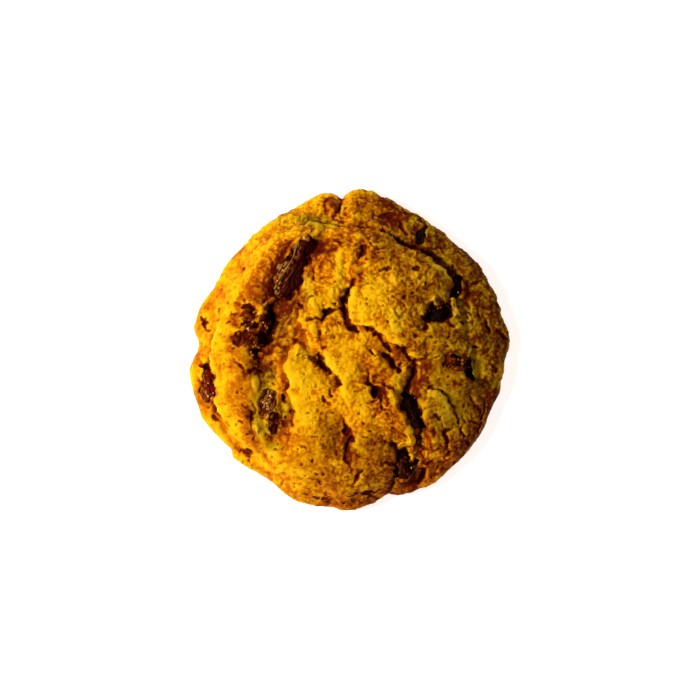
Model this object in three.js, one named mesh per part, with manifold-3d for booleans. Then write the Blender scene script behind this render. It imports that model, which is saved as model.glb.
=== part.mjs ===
// Oatmeal raisin cookie: a baked dough body about 64 mm across, with the raisins that show in it.
// Millimetres, +Z up. The cookie lies on its flat tray side at Z = 0, with the origin under its middle.
import * as THREE from 'three';
import { ImprovedNoise } from 'three/addons/math/ImprovedNoise.js';
import { mergeVertices } from 'three/addons/utils/BufferGeometryUtils.js';
import Module from 'manifold-3d';

// Driving dimensions.
const COOKIE_RADIUS = 31; // mean radius of the spread dough at its widest ring
const WIDEST_HEIGHT = 2.6; // the widest ring over the tray
const SKIRT_RISE = 5.2; // from the widest ring up to the middle of the spread dough
const SKIRT_FULLNESS = 3.2; // 2 is an ellipse, more is flatter on top and steeper at the rim
const BASE_SET_BACK = 1.8; // the rim rolls this far in under the widest ring
const CAP_RADIUS = 26; // the thicker middle that rose as one crust and broke at its edge
const CAP_CENTRE = [-1.8, -1.9];
const CAP_CROWN_HEIGHT = 13.1;
const CAP_EDGE_HEIGHT = 9.6;
const CAP_EDGE_DROP = 1.1; // the crust turns down this much at its edge
const CAP_EDGE_REACH = 1.6; // over about this distance
const CAP_LIP = 0.45; // the crust's edge hangs over the skirt by this much
const PLATE_EDGE_WIDTH = 0.6; // half the run of the step at a crust plate's edge
const PLATE_END_FADE = 1.5; // a step dies out this far past the ends of its path
const CRACK_WANDER = 0.3; // a crack strays this far to each side of its path
const CRACK_UNEVENNESS = 0.2; // and its width and depth vary by this share
const CRACK_END_SHARE = 0.35; // down to this share at its ends
const OVER_CRUST = 2; // cutters start this far over the crust
const RAISIN_GAP = 0.3; // clear space between a raisin and the dough around it
const LIP_CLOSING = 0.3; // share of a raisin's pocket that the torn crust closes over
const LIP_UNEVENNESS = 0.7; // share of the noise's range that the torn crust strays by
const RAISIN_FURROWS = 5;
const FURROW_DEPTH = 0.05; // share of a raisin's own thickness
const DENT_DEPTH = 0.12;
const SEED = 20;

// Mesh fineness.
const DOUGH_DETAIL = 17;
const TOP_SHARE = 0.78; // share of the dough's triangles on its crust, the rest on its tray side
const RAISIN_DETAIL = 3;
const POCKET_DETAIL = 2;
const WELD_DISTANCE = 1e-3; // corners closer than this are one corner
const GROOVE_STEP = 1.4; // length of one straight piece of a crack

// Swellings and dents of an edge: at these degrees it grows by mm over a spread of degrees.
const OUTLINE_LOBES = [
  { at: 4, grow: 0.95, spread: 6 },
  { at: 49, grow: -1.05, spread: 11 },
  { at: 87, grow: 1.1, spread: 6.5 },
  { at: 92.5, grow: -1.0, spread: 1.4 },
  { at: 100, grow: 0.55, spread: 4.5 },
  { at: 131, grow: -1.1, spread: 12 },
  { at: 150, grow: -0.8, spread: 8 },
  { at: 170, grow: 0.55, spread: 4 },
  { at: 178, grow: -1.25, spread: 2.8 },
  { at: 197, grow: 1.45, spread: 13 },
  { at: 233, grow: -0.2, spread: 10 },
  { at: 260, grow: 1.1, spread: 13 },
  { at: 284, grow: -1.3, spread: 3 },
  { at: 304, grow: 0.25, spread: 6 },
  { at: 344, grow: 0.45, spread: 3 },
];
const CAP_LOBES = [
  { at: 15, grow: -1.0, spread: 9 },
  { at: 38, grow: 1.0, spread: 5 },
  { at: 63, grow: -0.7, spread: 4 },
  { at: 74, grow: 0.6, spread: 6 },
  { at: 116, grow: 2.0, spread: 14 },
  { at: 180, grow: -0.5, spread: 10 },
  { at: 230, grow: -1.0, spread: 5 },
  { at: 272, grow: 0.9, spread: 12 },
  { at: 350, grow: 1.2, spread: 3 },
];

// Half the width of the slope from cap to skirt: a broken ledge where small, a gentle fall where large.
const LEDGE_SLOPE = 1.2;
const LEDGE_SLOPE_LOBES = [
  { at: 128, grow: 1.6, spread: 16 },
  { at: 246, grow: 4.2, spread: 13 },
  { at: 322, grow: 3.6, spread: 17 },
  { at: 0, grow: 0.3, spread: 8 },
];

// Places where the crust sank around the fruit: middle, half length, half width, heading, depth.
const HOLLOWS = [
  { name: 'north_west', at: [-12.4, 15.6], reach: [8.5, 4.2], heading: 65, depth: 1.5 },
  { name: 'west', at: [-18.2, 2.8], reach: [7.5, 4.4], heading: 95, depth: 2.1 },
  { name: 'south_west', at: [-16.2, -12.6], reach: [7.2, 4.2], heading: 85, depth: 1.9 },
  { name: 'east', at: [17.2, 7.2], reach: [4.6, 3.2], heading: 25, depth: 1.2 },
  { name: 'south_east', at: [10.8, -21.5], reach: [4.5, 3.2], heading: 110, depth: 1.2 },
];

// Edges of crust plates: one side of the path stands higher, and falls back to level over the reach.
const PLATE_EDGES = [
  { name: 'west_plate', path: [[-11.6, 1], [-12.7, -4.4], [-11.9, -8], [-10.8, -13]], rise: 1.8, reach: 6 },
  { name: 'middle_plate', path: [[-5.2, -0.6], [-4, -3.6], [-1.8, -6.8]], rise: 1.0, reach: 5 },
  { name: 'east_plate', path: [[14.2, -19], [12.6, -12], [13.4, -5], [9, 1]], rise: 0.9, reach: 5 },
];

// Unevenness of the crust, in mm: creases are this share of the noise's range wide.
const RELIEF = {
  swell: { size: 7.3, height: 0.9 },
  crag: { size: 5.1, height: 0.8, crease: 0.09 },
  knob: { size: 2.6, height: 0.7 },
};

// Cracks through the crust, each along a short path of places.
const CRACKS = [
  { name: 'centre', path: [[1.2, 14.2], [-1.2, 9], [-0.5, 5.2], [2, 3.3]], width: 2.0, depth: 3.6 },
  { name: 'centre_branch', path: [[-6.3, 5], [-4.4, 7.5], [-1, 8.3]], width: 1.7, depth: 3.2 },
  { name: 'diagonal', path: [[2.8, 4.4], [5.6, 2.8], [7.6, -0.4], [9.9, -4.6]], width: 2.2, depth: 3.4 },
  { name: 'east_gorge', path: [[9.2, 1.1], [11.6, -1.2], [12.7, -3.6], [11.6, -8]], width: 1.9, depth: 4.2 },
  { name: 'east_gorge_foot', path: [[12.9, -13], [14, -15.4], [14, -19.6]], width: 1.9, depth: 3.6 },
  { name: 'east_fissure', path: [[12.8, -2.1], [15.4, -1.6], [18.2, -0.9]], width: 0.9, depth: 1.8 },
  { name: 'middle', path: [[-6.3, -0.2], [-5.5, -2.6], [-2.8, -5.6], [-2, -8]], width: 1.9, depth: 3.2 },
  { name: 'hook', path: [[3.7, -4.4], [4.4, -7.2], [6, -9], [6.4, -11.8]], width: 2.1, depth: 3.4 },
  { name: 'south', path: [[-1.2, -13.6], [0.5, -17.2], [-0.4, -20], [0, -23.6]], width: 1.9, depth: 3.2 },
  { name: 'south_slit', path: [[2.5, -23.6], [0.5, -27.4]], width: 1.0, depth: 1.8 },
  { name: 'south_east', path: [[7.2, -18], [9.2, -19.6], [9.8, -22]], width: 1.8, depth: 3.4 },
  { name: 'arc', path: [[15.4, -7.3], [19, -8.7], [21.8, -14.4]], width: 1.0, depth: 2.0 },
  { name: 'arc_branch', path: [[21.4, -15], [18.6, -16.2], [19.4, -21.4]], width: 1.2, depth: 2.2 },
  { name: 'crescent', path: [[23.9, -1], [23.4, -3.6], [25.4, -6.4]], width: 1.8, depth: 3.0 },
  { name: 'east_slit', path: [[22, 5.4], [23, 2], [25.6, 0.6]], width: 1.1, depth: 2.2 },
  { name: 'north_notch', path: [[-1.6, 31.4], [-1.9, 28.4], [-3.4, 25.8]], width: 1.6, depth: 2.6 },
  { name: 'north_ring', path: [[10.6, 27.8], [13.4, 26], [14.6, 24]], width: 1.2, depth: 2.2 },
];

// Raisins: length, width and thickness, heading of the long axis, and how deep the middle lies.
const RAISINS = [
  { name: 'raisin_north_west', at: [-11.5, 16.8], size: [14.4, 6.4, 5.2], heading: 66, sink: 1.9 },
  { name: 'raisin_west', at: [-19, 3.9], size: [9.4, 5.4, 4.6], heading: 98, sink: 2.5 },
  { name: 'raisin_south_west', at: [-15.4, -12.5], size: [10.6, 6.2, 5], heading: 82, sink: 1.9 },
  { name: 'raisin_west_rim', at: [-28.2, -6.8], size: [7.2, 3.6, 3.2], heading: 97, sink: 0.8 },
  { name: 'raisin_east', at: [20.8, -2.2], size: [4.6, 3.2, 3], heading: 130, sink: 1.1 },
  { name: 'raisin_east_ledge', at: [21.4, 12.6], size: [5.4, 3, 3], heading: 110, sink: 1.3 },
  { name: 'raisin_east_hole', at: [17.6, 7.3], size: [6.4, 4.2, 3.8], heading: 25, sink: 3.0 },
  { name: 'raisin_gorge', at: [11.9, -11.3], size: [8.6, 4.4, 4], heading: 113, sink: 3.4 },
  { name: 'raisin_south_east', at: [10.6, -22.8], size: [6.8, 4, 3.6], heading: 96, sink: 2.4 },
  { name: 'raisin_north_east', at: [14.1, 22.7], size: [5, 3.4, 3.2], heading: 60, sink: 1.9 },
];

const wasm = await Module();
wasm.setup();

const noise = new ImprovedNoise();
const radians = THREE.MathUtils.degToRad;
const smoothstep = THREE.MathUtils.smoothstep;

// The seeded draw behind everything uneven, a number from -1 to 1.
function seededDraw(seed) {
  let state = seed;
  return () => {
    state = (state * 16807) % 2147483647;
    return (state / 2147483647) * 2 - 1;
  };
}

function headingOf(x, y) {
  return THREE.MathUtils.radToDeg(Math.atan2(y, x));
}

// A base value plus its lobes at one heading.
function withLobes(base, lobes, degrees) {
  let value = base;
  for (const { at, grow, spread } of lobes) {
    const away = THREE.MathUtils.euclideanModulo(degrees - at + 180, 360) - 180;
    value += grow * Math.exp(-0.5 * (away / spread) ** 2);
  }
  return value;
}

// The crust's section from the middle of the skirt, out over the rim and in under it, as radius and height.
function skirtSection() {
  const points = [];
  const steps = 40;
  for (let i = 0; i <= steps; i += 1) {
    const turn = (i / steps) * (Math.PI / 2);
    const ratio = Math.sin(turn) ** (2 / SKIRT_FULLNESS);
    const height = WIDEST_HEIGHT + SKIRT_RISE * Math.cos(turn);
    points.push(new THREE.Vector2(COOKIE_RADIUS * ratio, height));
  }
  const rollSteps = 6;
  for (let i = 1; i <= rollSteps; i += 1) {
    const turn = (i / rollSteps) * (Math.PI / 2);
    const radius = COOKIE_RADIUS - BASE_SET_BACK * (1 - Math.cos(turn));
    points.push(new THREE.Vector2(radius, WIDEST_HEIGHT * (1 - Math.sin(turn))));
  }
  return new THREE.SplineCurve(points);
}

// How far a place lies from the path, to its left, and past its ends, in mm.
function besidePath(path, x, y) {
  let nearest = { away: Infinity, left: 0, past: 0 };
  for (let i = 0; i + 1 < path.length; i += 1) {
    const [ax, ay] = path[i];
    const dx = path[i + 1][0] - ax;
    const dy = path[i + 1][1] - ay;
    const length = Math.hypot(dx, dy);
    const along = ((x - ax) * dx + (y - ay) * dy) / length;
    const left = (dx * (y - ay) - dy * (x - ax)) / length;
    const past = Math.max(-along, along - length, 0);
    const away = Math.hypot(past, left);
    if (away < nearest.away) nearest = { away, left, past };
  }
  return nearest;
}

function hollowDepth(x, y) {
  let depth = 0;
  for (const hollow of HOLLOWS) {
    const dx = x - hollow.at[0];
    const dy = y - hollow.at[1];
    const turn = radians(hollow.heading);
    const along = (dx * Math.cos(turn) + dy * Math.sin(turn)) / hollow.reach[0];
    const across = (dy * Math.cos(turn) - dx * Math.sin(turn)) / hollow.reach[1];
    depth += hollow.depth * Math.exp(-(along * along + across * across));
  }
  return depth;
}

function plateRise(x, y) {
  let rise = 0;
  for (const edge of PLATE_EDGES) {
    const { away, left, past } = besidePath(edge.path, x, y);
    const side = smoothstep(left, -PLATE_EDGE_WIDTH, PLATE_EDGE_WIDTH);
    const fade = Math.exp(-((away / edge.reach) ** 2) - (past / PLATE_END_FADE) ** 2);
    rise += edge.rise * fade * (side - 0.5);
  }
  return rise;
}

// Crust relief: broad swells, crags between creases, and knobs the size of an oat flake.
function relief(x, y) {
  const { swell, crag, knob } = RELIEF;
  const swells = noise.noise(x / swell.size, y / swell.size, SEED + 0.5);
  const creases = Math.exp(-Math.abs(noise.noise(x / crag.size, y / crag.size, SEED + 4.5)) / crag.crease);
  const knobs = noise.noise(x / knob.size, y / knob.size, SEED + 9.5);
  return swell.height * swells - crag.height * creases + knob.height * knobs;
}

// How far the crust at x, y stands over the plain skirt, and which way its ledge leans out.
function crustOver(x, y, skirtHeight) {
  const dx = x - CAP_CENTRE[0];
  const dy = y - CAP_CENTRE[1];
  const degrees = headingOf(dx, dy);
  const edge = withLobes(CAP_RADIUS, CAP_LOBES, degrees);
  const reach = Math.hypot(dx, dy);
  const inside = edge - reach;
  const slope = withLobes(LEDGE_SLOPE, LEDGE_SLOPE_LOBES, degrees);
  const onCap = smoothstep(inside, -slope, slope);
  const dome = CAP_EDGE_HEIGHT + (CAP_CROWN_HEIGHT - CAP_EDGE_HEIGHT) * (1 - (reach / edge) ** 2);
  const turnedDown = CAP_EDGE_DROP * Math.exp(-Math.max(inside, 0) / CAP_EDGE_REACH);
  const sunk = hollowDepth(x, y) - plateRise(x, y);
  const height = (dome - turnedDown - sunk - skirtHeight) * onCap + relief(x, y);
  const lean = (CAP_LIP * Math.sin((onCap - 0.5) * 2 * Math.PI)) / Math.max(reach, 1);
  return { height, lean: [dx * lean, dy * lean] };
}

const SECTION = skirtSection();
const SECTION_LENGTH = SECTION.getLength();

// Height of the crust over the tray straight above x, y, away from the rolled rim.
function crustHeight(x, y) {
  const ratio = Math.hypot(x, y) / withLobes(COOKIE_RADIUS, OUTLINE_LOBES, headingOf(x, y));
  const skirt = WIDEST_HEIGHT + SKIRT_RISE * Math.sqrt(Math.max(1 - ratio ** SKIRT_FULLNESS, 0));
  return skirt + crustOver(x, y, skirt).height;
}

// A ball of triangles pushed into the shape of the cookie: its top onto the crust, its bottom flat.
function doughShape() {
  const ball = new THREE.IcosahedronGeometry(1, DOUGH_DETAIL);
  const positions = ball.getAttribute('position');
  for (let i = 0; i < positions.count; i += 1) {
    const x = positions.getX(i);
    const y = positions.getY(i);
    const fromTop = (1 - positions.getZ(i)) / 2;
    const turn = Math.atan2(y, x);
    const growth = withLobes(COOKIE_RADIUS, OUTLINE_LOBES, headingOf(x, y)) / COOKIE_RADIUS;
    if (fromTop < TOP_SHARE) {
      const onSection = SECTION.getPointAt(Math.sqrt(fromTop / TOP_SHARE));
      const px = onSection.x * growth * Math.cos(turn);
      const py = onSection.x * growth * Math.sin(turn);
      const over = crustOver(px, py, onSection.y);
      const aboveRim = smoothstep(onSection.y, WIDEST_HEIGHT * 0.6, WIDEST_HEIGHT * 1.8);
      positions.setXYZ(i, px + over.lean[0], py + over.lean[1], onSection.y + over.height * aboveRim);
    } else {
      const ratio = Math.sqrt((1 - fromTop) / (1 - TOP_SHARE));
      const radius = (COOKIE_RADIUS - BASE_SET_BACK) * growth * ratio;
      positions.setXYZ(i, radius * Math.cos(turn), radius * Math.sin(turn), 0);
    }
  }
  return ball;
}

// A cutter with a V section that follows a crack's path and runs shallow and narrow at both ends.
function crackCutter({ path, width, depth }, draw) {
  const curve = new THREE.CatmullRomCurve3(path.map(([x, y]) => new THREE.Vector3(x, y, 0)));
  const steps = Math.max(Math.round(curve.getLength() / GROOVE_STEP), 2);
  const corners = [];
  for (let i = 0; i <= steps; i += 1) {
    const place = curve.getPointAt(i / steps);
    const tangent = curve.getTangentAt(i / steps);
    const sideways = new THREE.Vector3(-tangent.y, tangent.x, 0);
    const inner = i > 0 && i < steps;
    place.addScaledVector(sideways, inner ? CRACK_WANDER * draw() : 0);
    const fullness = inner ? 1 + CRACK_UNEVENNESS * draw() : CRACK_END_SHARE;
    const surface = crustHeight(place.x, place.y);
    const deep = depth * fullness;
    const half = (width / 2) * fullness * ((deep + OVER_CRUST) / deep);
    const left = place.clone().addScaledVector(sideways, half);
    const right = place.clone().addScaledVector(sideways, -half);
    corners.push(left.x, left.y, surface + OVER_CRUST);
    corners.push(right.x, right.y, surface + OVER_CRUST);
    corners.push(place.x, place.y, surface - deep);
  }
  const faces = [0, 2, 1];
  for (let i = 0; i < steps; i += 1) {
    for (let side = 0; side < 3; side += 1) {
      const a = i * 3 + side;
      const b = i * 3 + ((side + 1) % 3);
      faces.push(a, b, a + 3, b, b + 3, a + 3);
    }
  }
  const end = steps * 3;
  faces.push(end, end + 1, end + 2);
  const cutter = new THREE.BufferGeometry();
  cutter.setAttribute('position', new THREE.Float32BufferAttribute(corners, 3));
  cutter.setIndex(faces);
  return cutter;
}

// A dried fruit: an ellipsoid with furrows along its length and a dented, uneven skin.
function raisinShape({ size }, index) {
  const ball = new THREE.IcosahedronGeometry(1, RAISIN_DETAIL);
  const positions = ball.getAttribute('position');
  for (let i = 0; i < positions.count; i += 1) {
    const x = positions.getX(i);
    const y = positions.getY(i);
    const z = positions.getZ(i);
    const around = Math.atan2(z, y);
    const furrow = Math.cos(RAISIN_FURROWS * around + 2.2 * x + index) * (1 - x * x);
    const dents = noise.noise(2.1 * x + index, 2.1 * y, 2.1 * z + SEED);
    const skin = 0.93 + FURROW_DEPTH * furrow + DENT_DEPTH * dents;
    positions.setXYZ(i, (size[0] / 2) * x * skin, (size[1] / 2) * y * skin, (size[2] / 2) * z * skin);
  }
  return ball;
}

// The room a raisin takes in the dough: its lower half fits the raisin, and its upper half rises
// through the crust, uneven, as the dough has closed in over the raisin's edges.
function pocketShape({ size, sink }, index) {
  const ball = new THREE.IcosahedronGeometry(1, POCKET_DETAIL);
  const positions = ball.getAttribute('position');
  const shaft = sink + OVER_CRUST;
  for (let i = 0; i < positions.count; i += 1) {
    const x = positions.getX(i);
    const y = positions.getY(i);
    const z = positions.getZ(i);
    const above = Math.max(z, 0);
    const torn = noise.noise(1.7 * x + index, 1.7 * y, SEED + 0.3);
    const across = 1.04 + (LIP_UNEVENNESS * torn - LIP_CLOSING) * above;
    const height = z > 0 ? shaft * Math.min(z * 1.6, 1) : (size[2] / 2 + RAISIN_GAP) * z;
    const halfLength = size[0] / 2 + RAISIN_GAP;
    const halfWidth = size[1] / 2 + RAISIN_GAP;
    positions.setXYZ(i, halfLength * x * across, halfWidth * y * across, height);
  }
  return ball;
}

function solidFrom(geometry) {
  const bare = geometry.clone();
  bare.deleteAttribute('normal');
  bare.deleteAttribute('uv');
  const merged = mergeVertices(bare, WELD_DISTANCE);
  const vertProperties = merged.getAttribute('position').array;
  const triVerts = new Uint32Array(merged.index.array);
  return new wasm.Manifold(new wasm.Mesh({ numProp: 3, vertProperties, triVerts }));
}

function geometryFrom(solid) {
  const { vertProperties, triVerts } = solid.getMesh();
  const geometry = new THREE.BufferGeometry();
  geometry.setAttribute('position', new THREE.BufferAttribute(vertProperties, 3));
  geometry.setIndex(new THREE.BufferAttribute(triVerts, 1));
  return geometry;
}

// Cutting can leave a crumb loose between two cracks: the body is the largest piece.
function largestPiece(solid) {
  return solid.decompose().reduce((best, piece) => (piece.volume() > best.volume() ? piece : best));
}

function placeInDough(target, { at: [x, y], heading, sink }) {
  target.position.set(x, y, crustHeight(x, y) - sink);
  target.rotation.set(0, 0, radians(heading));
}

function doughGeometry() {
  const draw = seededDraw(SEED);
  let dough = solidFrom(doughShape());
  for (const crack of CRACKS) {
    dough = dough.subtract(solidFrom(crackCutter(crack, draw)));
  }
  RAISINS.forEach((raisin, index) => {
    const pocket = new THREE.Mesh(pocketShape(raisin, index));
    placeInDough(pocket, raisin);
    pocket.updateMatrix();
    dough = dough.subtract(solidFrom(pocket.geometry.applyMatrix4(pocket.matrix)));
  });
  const whole = largestPiece(dough);
  return geometryFrom(largestPiece(solidFrom(geometryFrom(whole))));
}

const cookie = new THREE.Group();
cookie.name = 'oatmeal_raisin_cookie';

const doughMaterial = new THREE.MeshStandardMaterial({ color: 0xb8760f, roughness: 0.85, metalness: 0 });
const dough = new THREE.Mesh(doughGeometry(), doughMaterial);
dough.name = 'dough';
cookie.add(dough);

RAISINS.forEach((raisin, index) => {
  const skin = new THREE.MeshStandardMaterial({ color: 0x3a1a10, roughness: 0.5, metalness: 0 });
  const mesh = new THREE.Mesh(raisinShape(raisin, index), skin);
  mesh.name = raisin.name;
  placeInDough(mesh, raisin);
  cookie.add(mesh);
});

export default cookie;
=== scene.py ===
"""Looks of an oatmeal raisin cookie: golden cracked crust, raisins, crumbs and sugar."""
import math
import random
from types import SimpleNamespace

import bmesh
import bpy
import numpy as np
from bpy.props import FloatProperty, FloatVectorProperty, IntProperty, PointerProperty
from mathutils import Matrix, Vector, noise
from mathutils.bvhtree import BVHTree
from mathutils.kdtree import KDTree


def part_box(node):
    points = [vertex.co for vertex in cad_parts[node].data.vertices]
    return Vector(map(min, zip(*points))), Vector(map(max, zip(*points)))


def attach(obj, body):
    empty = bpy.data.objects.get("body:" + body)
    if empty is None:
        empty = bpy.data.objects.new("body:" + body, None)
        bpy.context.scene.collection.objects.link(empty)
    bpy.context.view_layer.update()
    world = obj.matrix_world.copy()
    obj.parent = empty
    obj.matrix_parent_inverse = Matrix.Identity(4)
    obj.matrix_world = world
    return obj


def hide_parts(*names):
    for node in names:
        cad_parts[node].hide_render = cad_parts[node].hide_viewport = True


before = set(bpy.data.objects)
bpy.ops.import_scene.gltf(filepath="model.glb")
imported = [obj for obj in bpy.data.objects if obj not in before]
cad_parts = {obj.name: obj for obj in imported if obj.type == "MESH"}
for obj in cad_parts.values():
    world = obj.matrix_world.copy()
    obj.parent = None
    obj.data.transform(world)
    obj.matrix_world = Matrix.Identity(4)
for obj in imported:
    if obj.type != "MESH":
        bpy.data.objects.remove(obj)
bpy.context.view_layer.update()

bl_info = {
    "name": "Oatmeal Raisin Cookie",
    "version": (1, 0, 0),
    "blender": (4, 5, 0),
    "location": "3D View > Sidebar > Cookie",
    "description": "Bakes a cracked oatmeal raisin cookie round its packed frame",
    "category": "Object",
}

MM = 0.001  # shapes are worked out in millimetres, pieces are made in metres
SEED = 20
DOWN = Vector((0, 0, -1))
DROP_HEIGHT = 50  # mm over the floor, from where small things fall

# Section of the spread dough, from its middle over the rim to the tray, as in the solid.
COOKIE_RADIUS = 31.0
WIDEST_HEIGHT = 2.6
SKIRT_RISE = 5.2
SKIRT_FULLNESS = 3.2
BASE_SET_BACK = 1.8
BASE_EDGE_GAP = 0.4

# The two flat fans of triangles that become the crust and the tray side.
TRAY_FAN_RADIUS = 0.98
TRAY_FAN_HEIGHT = -0.02

# The raised crust on top of the dough.
CAP_CENTRE = (-1.8, -1.9)
CAP_RADIUS = 26.0
CAP_CROWN_HEIGHT = 13.1
CAP_EDGE_HEIGHT = 9.6
CAP_EDGE_DROP = 1.1
CAP_EDGE_REACH = 1.6
CAP_LIP = 0.7
LEDGE_SLOPE = 0.75
# Set-in from the crust's edge and width, in mm, of its painted highlight line.
CREST_SET_IN = 0.45
CREST_WIDTH = 0.35

# The crust bends down towards a crack on its west side over about this far.
CRACK_SAG_REACH = 1.8

# Noises of the crust: size of their features in mm and an offset that sets them apart.
NOISES = {"swell": (6.5, 2.2), "clods": (2.3, 6.1), "lumps": (1.2, 7.3), "grain": (0.6, 9.4),
          "pores": (0.95, 11.6)}

# Rounds of averaging with the neighbours, for vertices and colours on steep walls and for tips and folds.
SPREAD_ROUNDS = 16
WALL_SPREAD_ROUNDS = 6
WALL_COLOUR_ROUNDS = 6
WALL_COLOUR_SHARE = 0.6
NEAR_ROUNDS = 2
FAR_ROUNDS = 14
FOLD_ROUNDS = 8
CRUMBLE_ROUNDS = 3

# How far a point has to stand out of the dough close by, and of the dough further round it, in mm, to be a tip.
# Tips are painted lighter, as a highlight, and hollows darker, as shade.
FINE_TIP = 0.02
BROAD_TIP = 0.12

# Where a raisin lies bare, the dough is sunk this deep under its skin. Elsewhere it lies this thick over it.
SUNK_UNDER_SKIN = 0.6
LAID_OVER_SKIN = 0.25

# Depth of a pit and of a pore in mm.
PIT_DEPTH = 0.45
PORE_DEPTH = 0.09

# Small things: loose ones stay off dough that tore open more than this, and larger crumbs, by their radius in
# mm, get finer meshes.
MOST_TORN = 0.25
LARGE_CRUMB = 0.28

# Stage, in metres.
KEY_PLACE = (-0.37, 0.02, 0.41)
KEY_SIZE = 0.13
FLOOR_REACH = 1.5
FLOOR_GAP = 0.05 * MM
SENSOR_WIDTH = 36  # mm

# Swellings and dents of an edge: heading in degrees, growth in mm, spread in degrees.
OUTLINE_LOBES = (
    (4, 0.95, 6), (49, -1.05, 11), (87, 1.1, 6.5), (92.5, -1, 1.4), (100, 0.55, 4.5), (131, -1.1, 12),
    (150, -0.8, 8), (170, 0.55, 4), (178, -1.25, 2.8), (197, 1.45, 13), (233, -0.2, 10), (260, 1.1, 13),
    (284, -1.3, 3), (304, 0.25, 6), (344, 0.45, 3), (32, 0.4, 5), (112, -0.3, 3), (144, 0.2, 2.5),
    (219.5, -0.35, 1.6), (222.5, 0.35, 1.2), (276, -0.25, 2), (297, -0.25, 2), (312, 0.2, 2), (357, -0.8, 3),
    (18, 0.45, 4), (58, -0.6, 7), (94, -0.8, 2), (127, 0.35, 6), (146, 0.45, 4), (163, 0.4, 3), (171, -0.35, 3),
    (187, 0.35, 3), (213, -0.35, 4), (226, 0.35, 2.5), (237, -0.7, 6), (255, -0.5, 4), (268, 0.4, 3),
    (285, -0.3, 2), (292, -0.35, 3), (305, 0.45, 3), (334, -0.4, 4), (3, -0.2, 2),
)
CAP_LOBES = (
    (15, -1, 9), (38, 1, 5), (63, -0.7, 4), (74, 0.6, 6), (116, 2, 14), (180, -0.5, 10), (230, -1, 5),
    (272, 0.9, 12), (350, 1.2, 3),
)

# Where the ledge slopes more gently or steeply, in the same form.
LEDGE_SLOPE_LOBES = (
    (128, 1.8, 16), (156, 0.8, 8), (200, -0.3, 12), (252, 4.2, 15), (278, 3, 12), (322, 3.6, 17), (0, 0.4, 8),
)

# Where the crust's edge gets a painted highlight, a pale line just inside it, in the same form.
CREST_LOBES = ((180, 0.4, 12), (205, 0.3, 14), (45, 0.7, 8), (60, 0.3, 8))

# Places where the crust sank: middle, half length, half width, heading, depth.
HOLLOWS = (
    (17.2, 7.2, 4.6, 3.2, 25, 1.2), (10.8, -21.5, 4.5, 3.2, 110, 1.5), (8.4, -1.8, 3.4, 1.7, 125, 1.7),
    (-2.4, -16.6, 3.8, 2.4, 75, 1.3), (20.6, -2.2, 2.2, 1.8, 130, 0.9), (6, 27, 3.2, 1.6, 170, 0.8),
    (12, -26.2, 2.6, 1.6, 160, 0.8), (17, -16, 2.2, 3.6, 0, 0.6), (-14.6, -14, 3.2, 2.6, 90, 0.8),
    (3.4, -3.6, 2.4, 1.4, 150, 0.6), (5.6, -8.4, 1.8, 1.5, 110, 0.6),
)

# Valleys in the crust: depth, then the points of the path, each with the valley's half width there.
VALLEYS = (
    (2.4, (-5.4, 22, 1.6), (-9.6, 19.4, 2.6), (-12.6, 14.4, 3), (-14.6, 9.6, 2.6), (-17.4, 5, 3.4),
     (-18.2, 1, 3.2), (-18, -4, 2.6)),
    (1.7, (-18, -4, 2.4), (-16.2, -9, 3.4), (-15.4, -13, 3.6), (-14.6, -16.2, 2.6)),
    (0.6, (-1, 17.5, 1), (-0.4, 12, 1.4), (-1.2, 8, 1.2)), (0.9, (2.6, 21, 1), (1.8, 17.6, 1.2)),
    (1, (12.8, -4, 1.6), (11.6, -9, 2.2), (13.4, -15, 1.8), (13.8, -20, 1.6)),
    (0.5, (22.4, 5, 1), (23.2, 1, 1.2), (23.6, -4, 1.2)), (0.7, (4, 23.4, 1), (8, 22, 1.2), (12.4, 20.4, 1.4)),
    (0.8, (-6.8, -0.2, 1), (-5.4, -3.2, 1.2), (-2.8, -6.8, 1.2)),
    (0.6, (-28, -2, 0.4), (-27.9, -5, 0.9), (-27.4, -9, 0.9), (-26.4, -13, 0.7), (-24.8, -16.8, 0.7),
     (-22.4, -19.9, 0.7), (-20, -21.2, 0.4)),
    (0.7, (12.6, 21.4, 0.6), (16.6, 18.6, 0.9), (20.2, 15, 0.9)),
)

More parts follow.
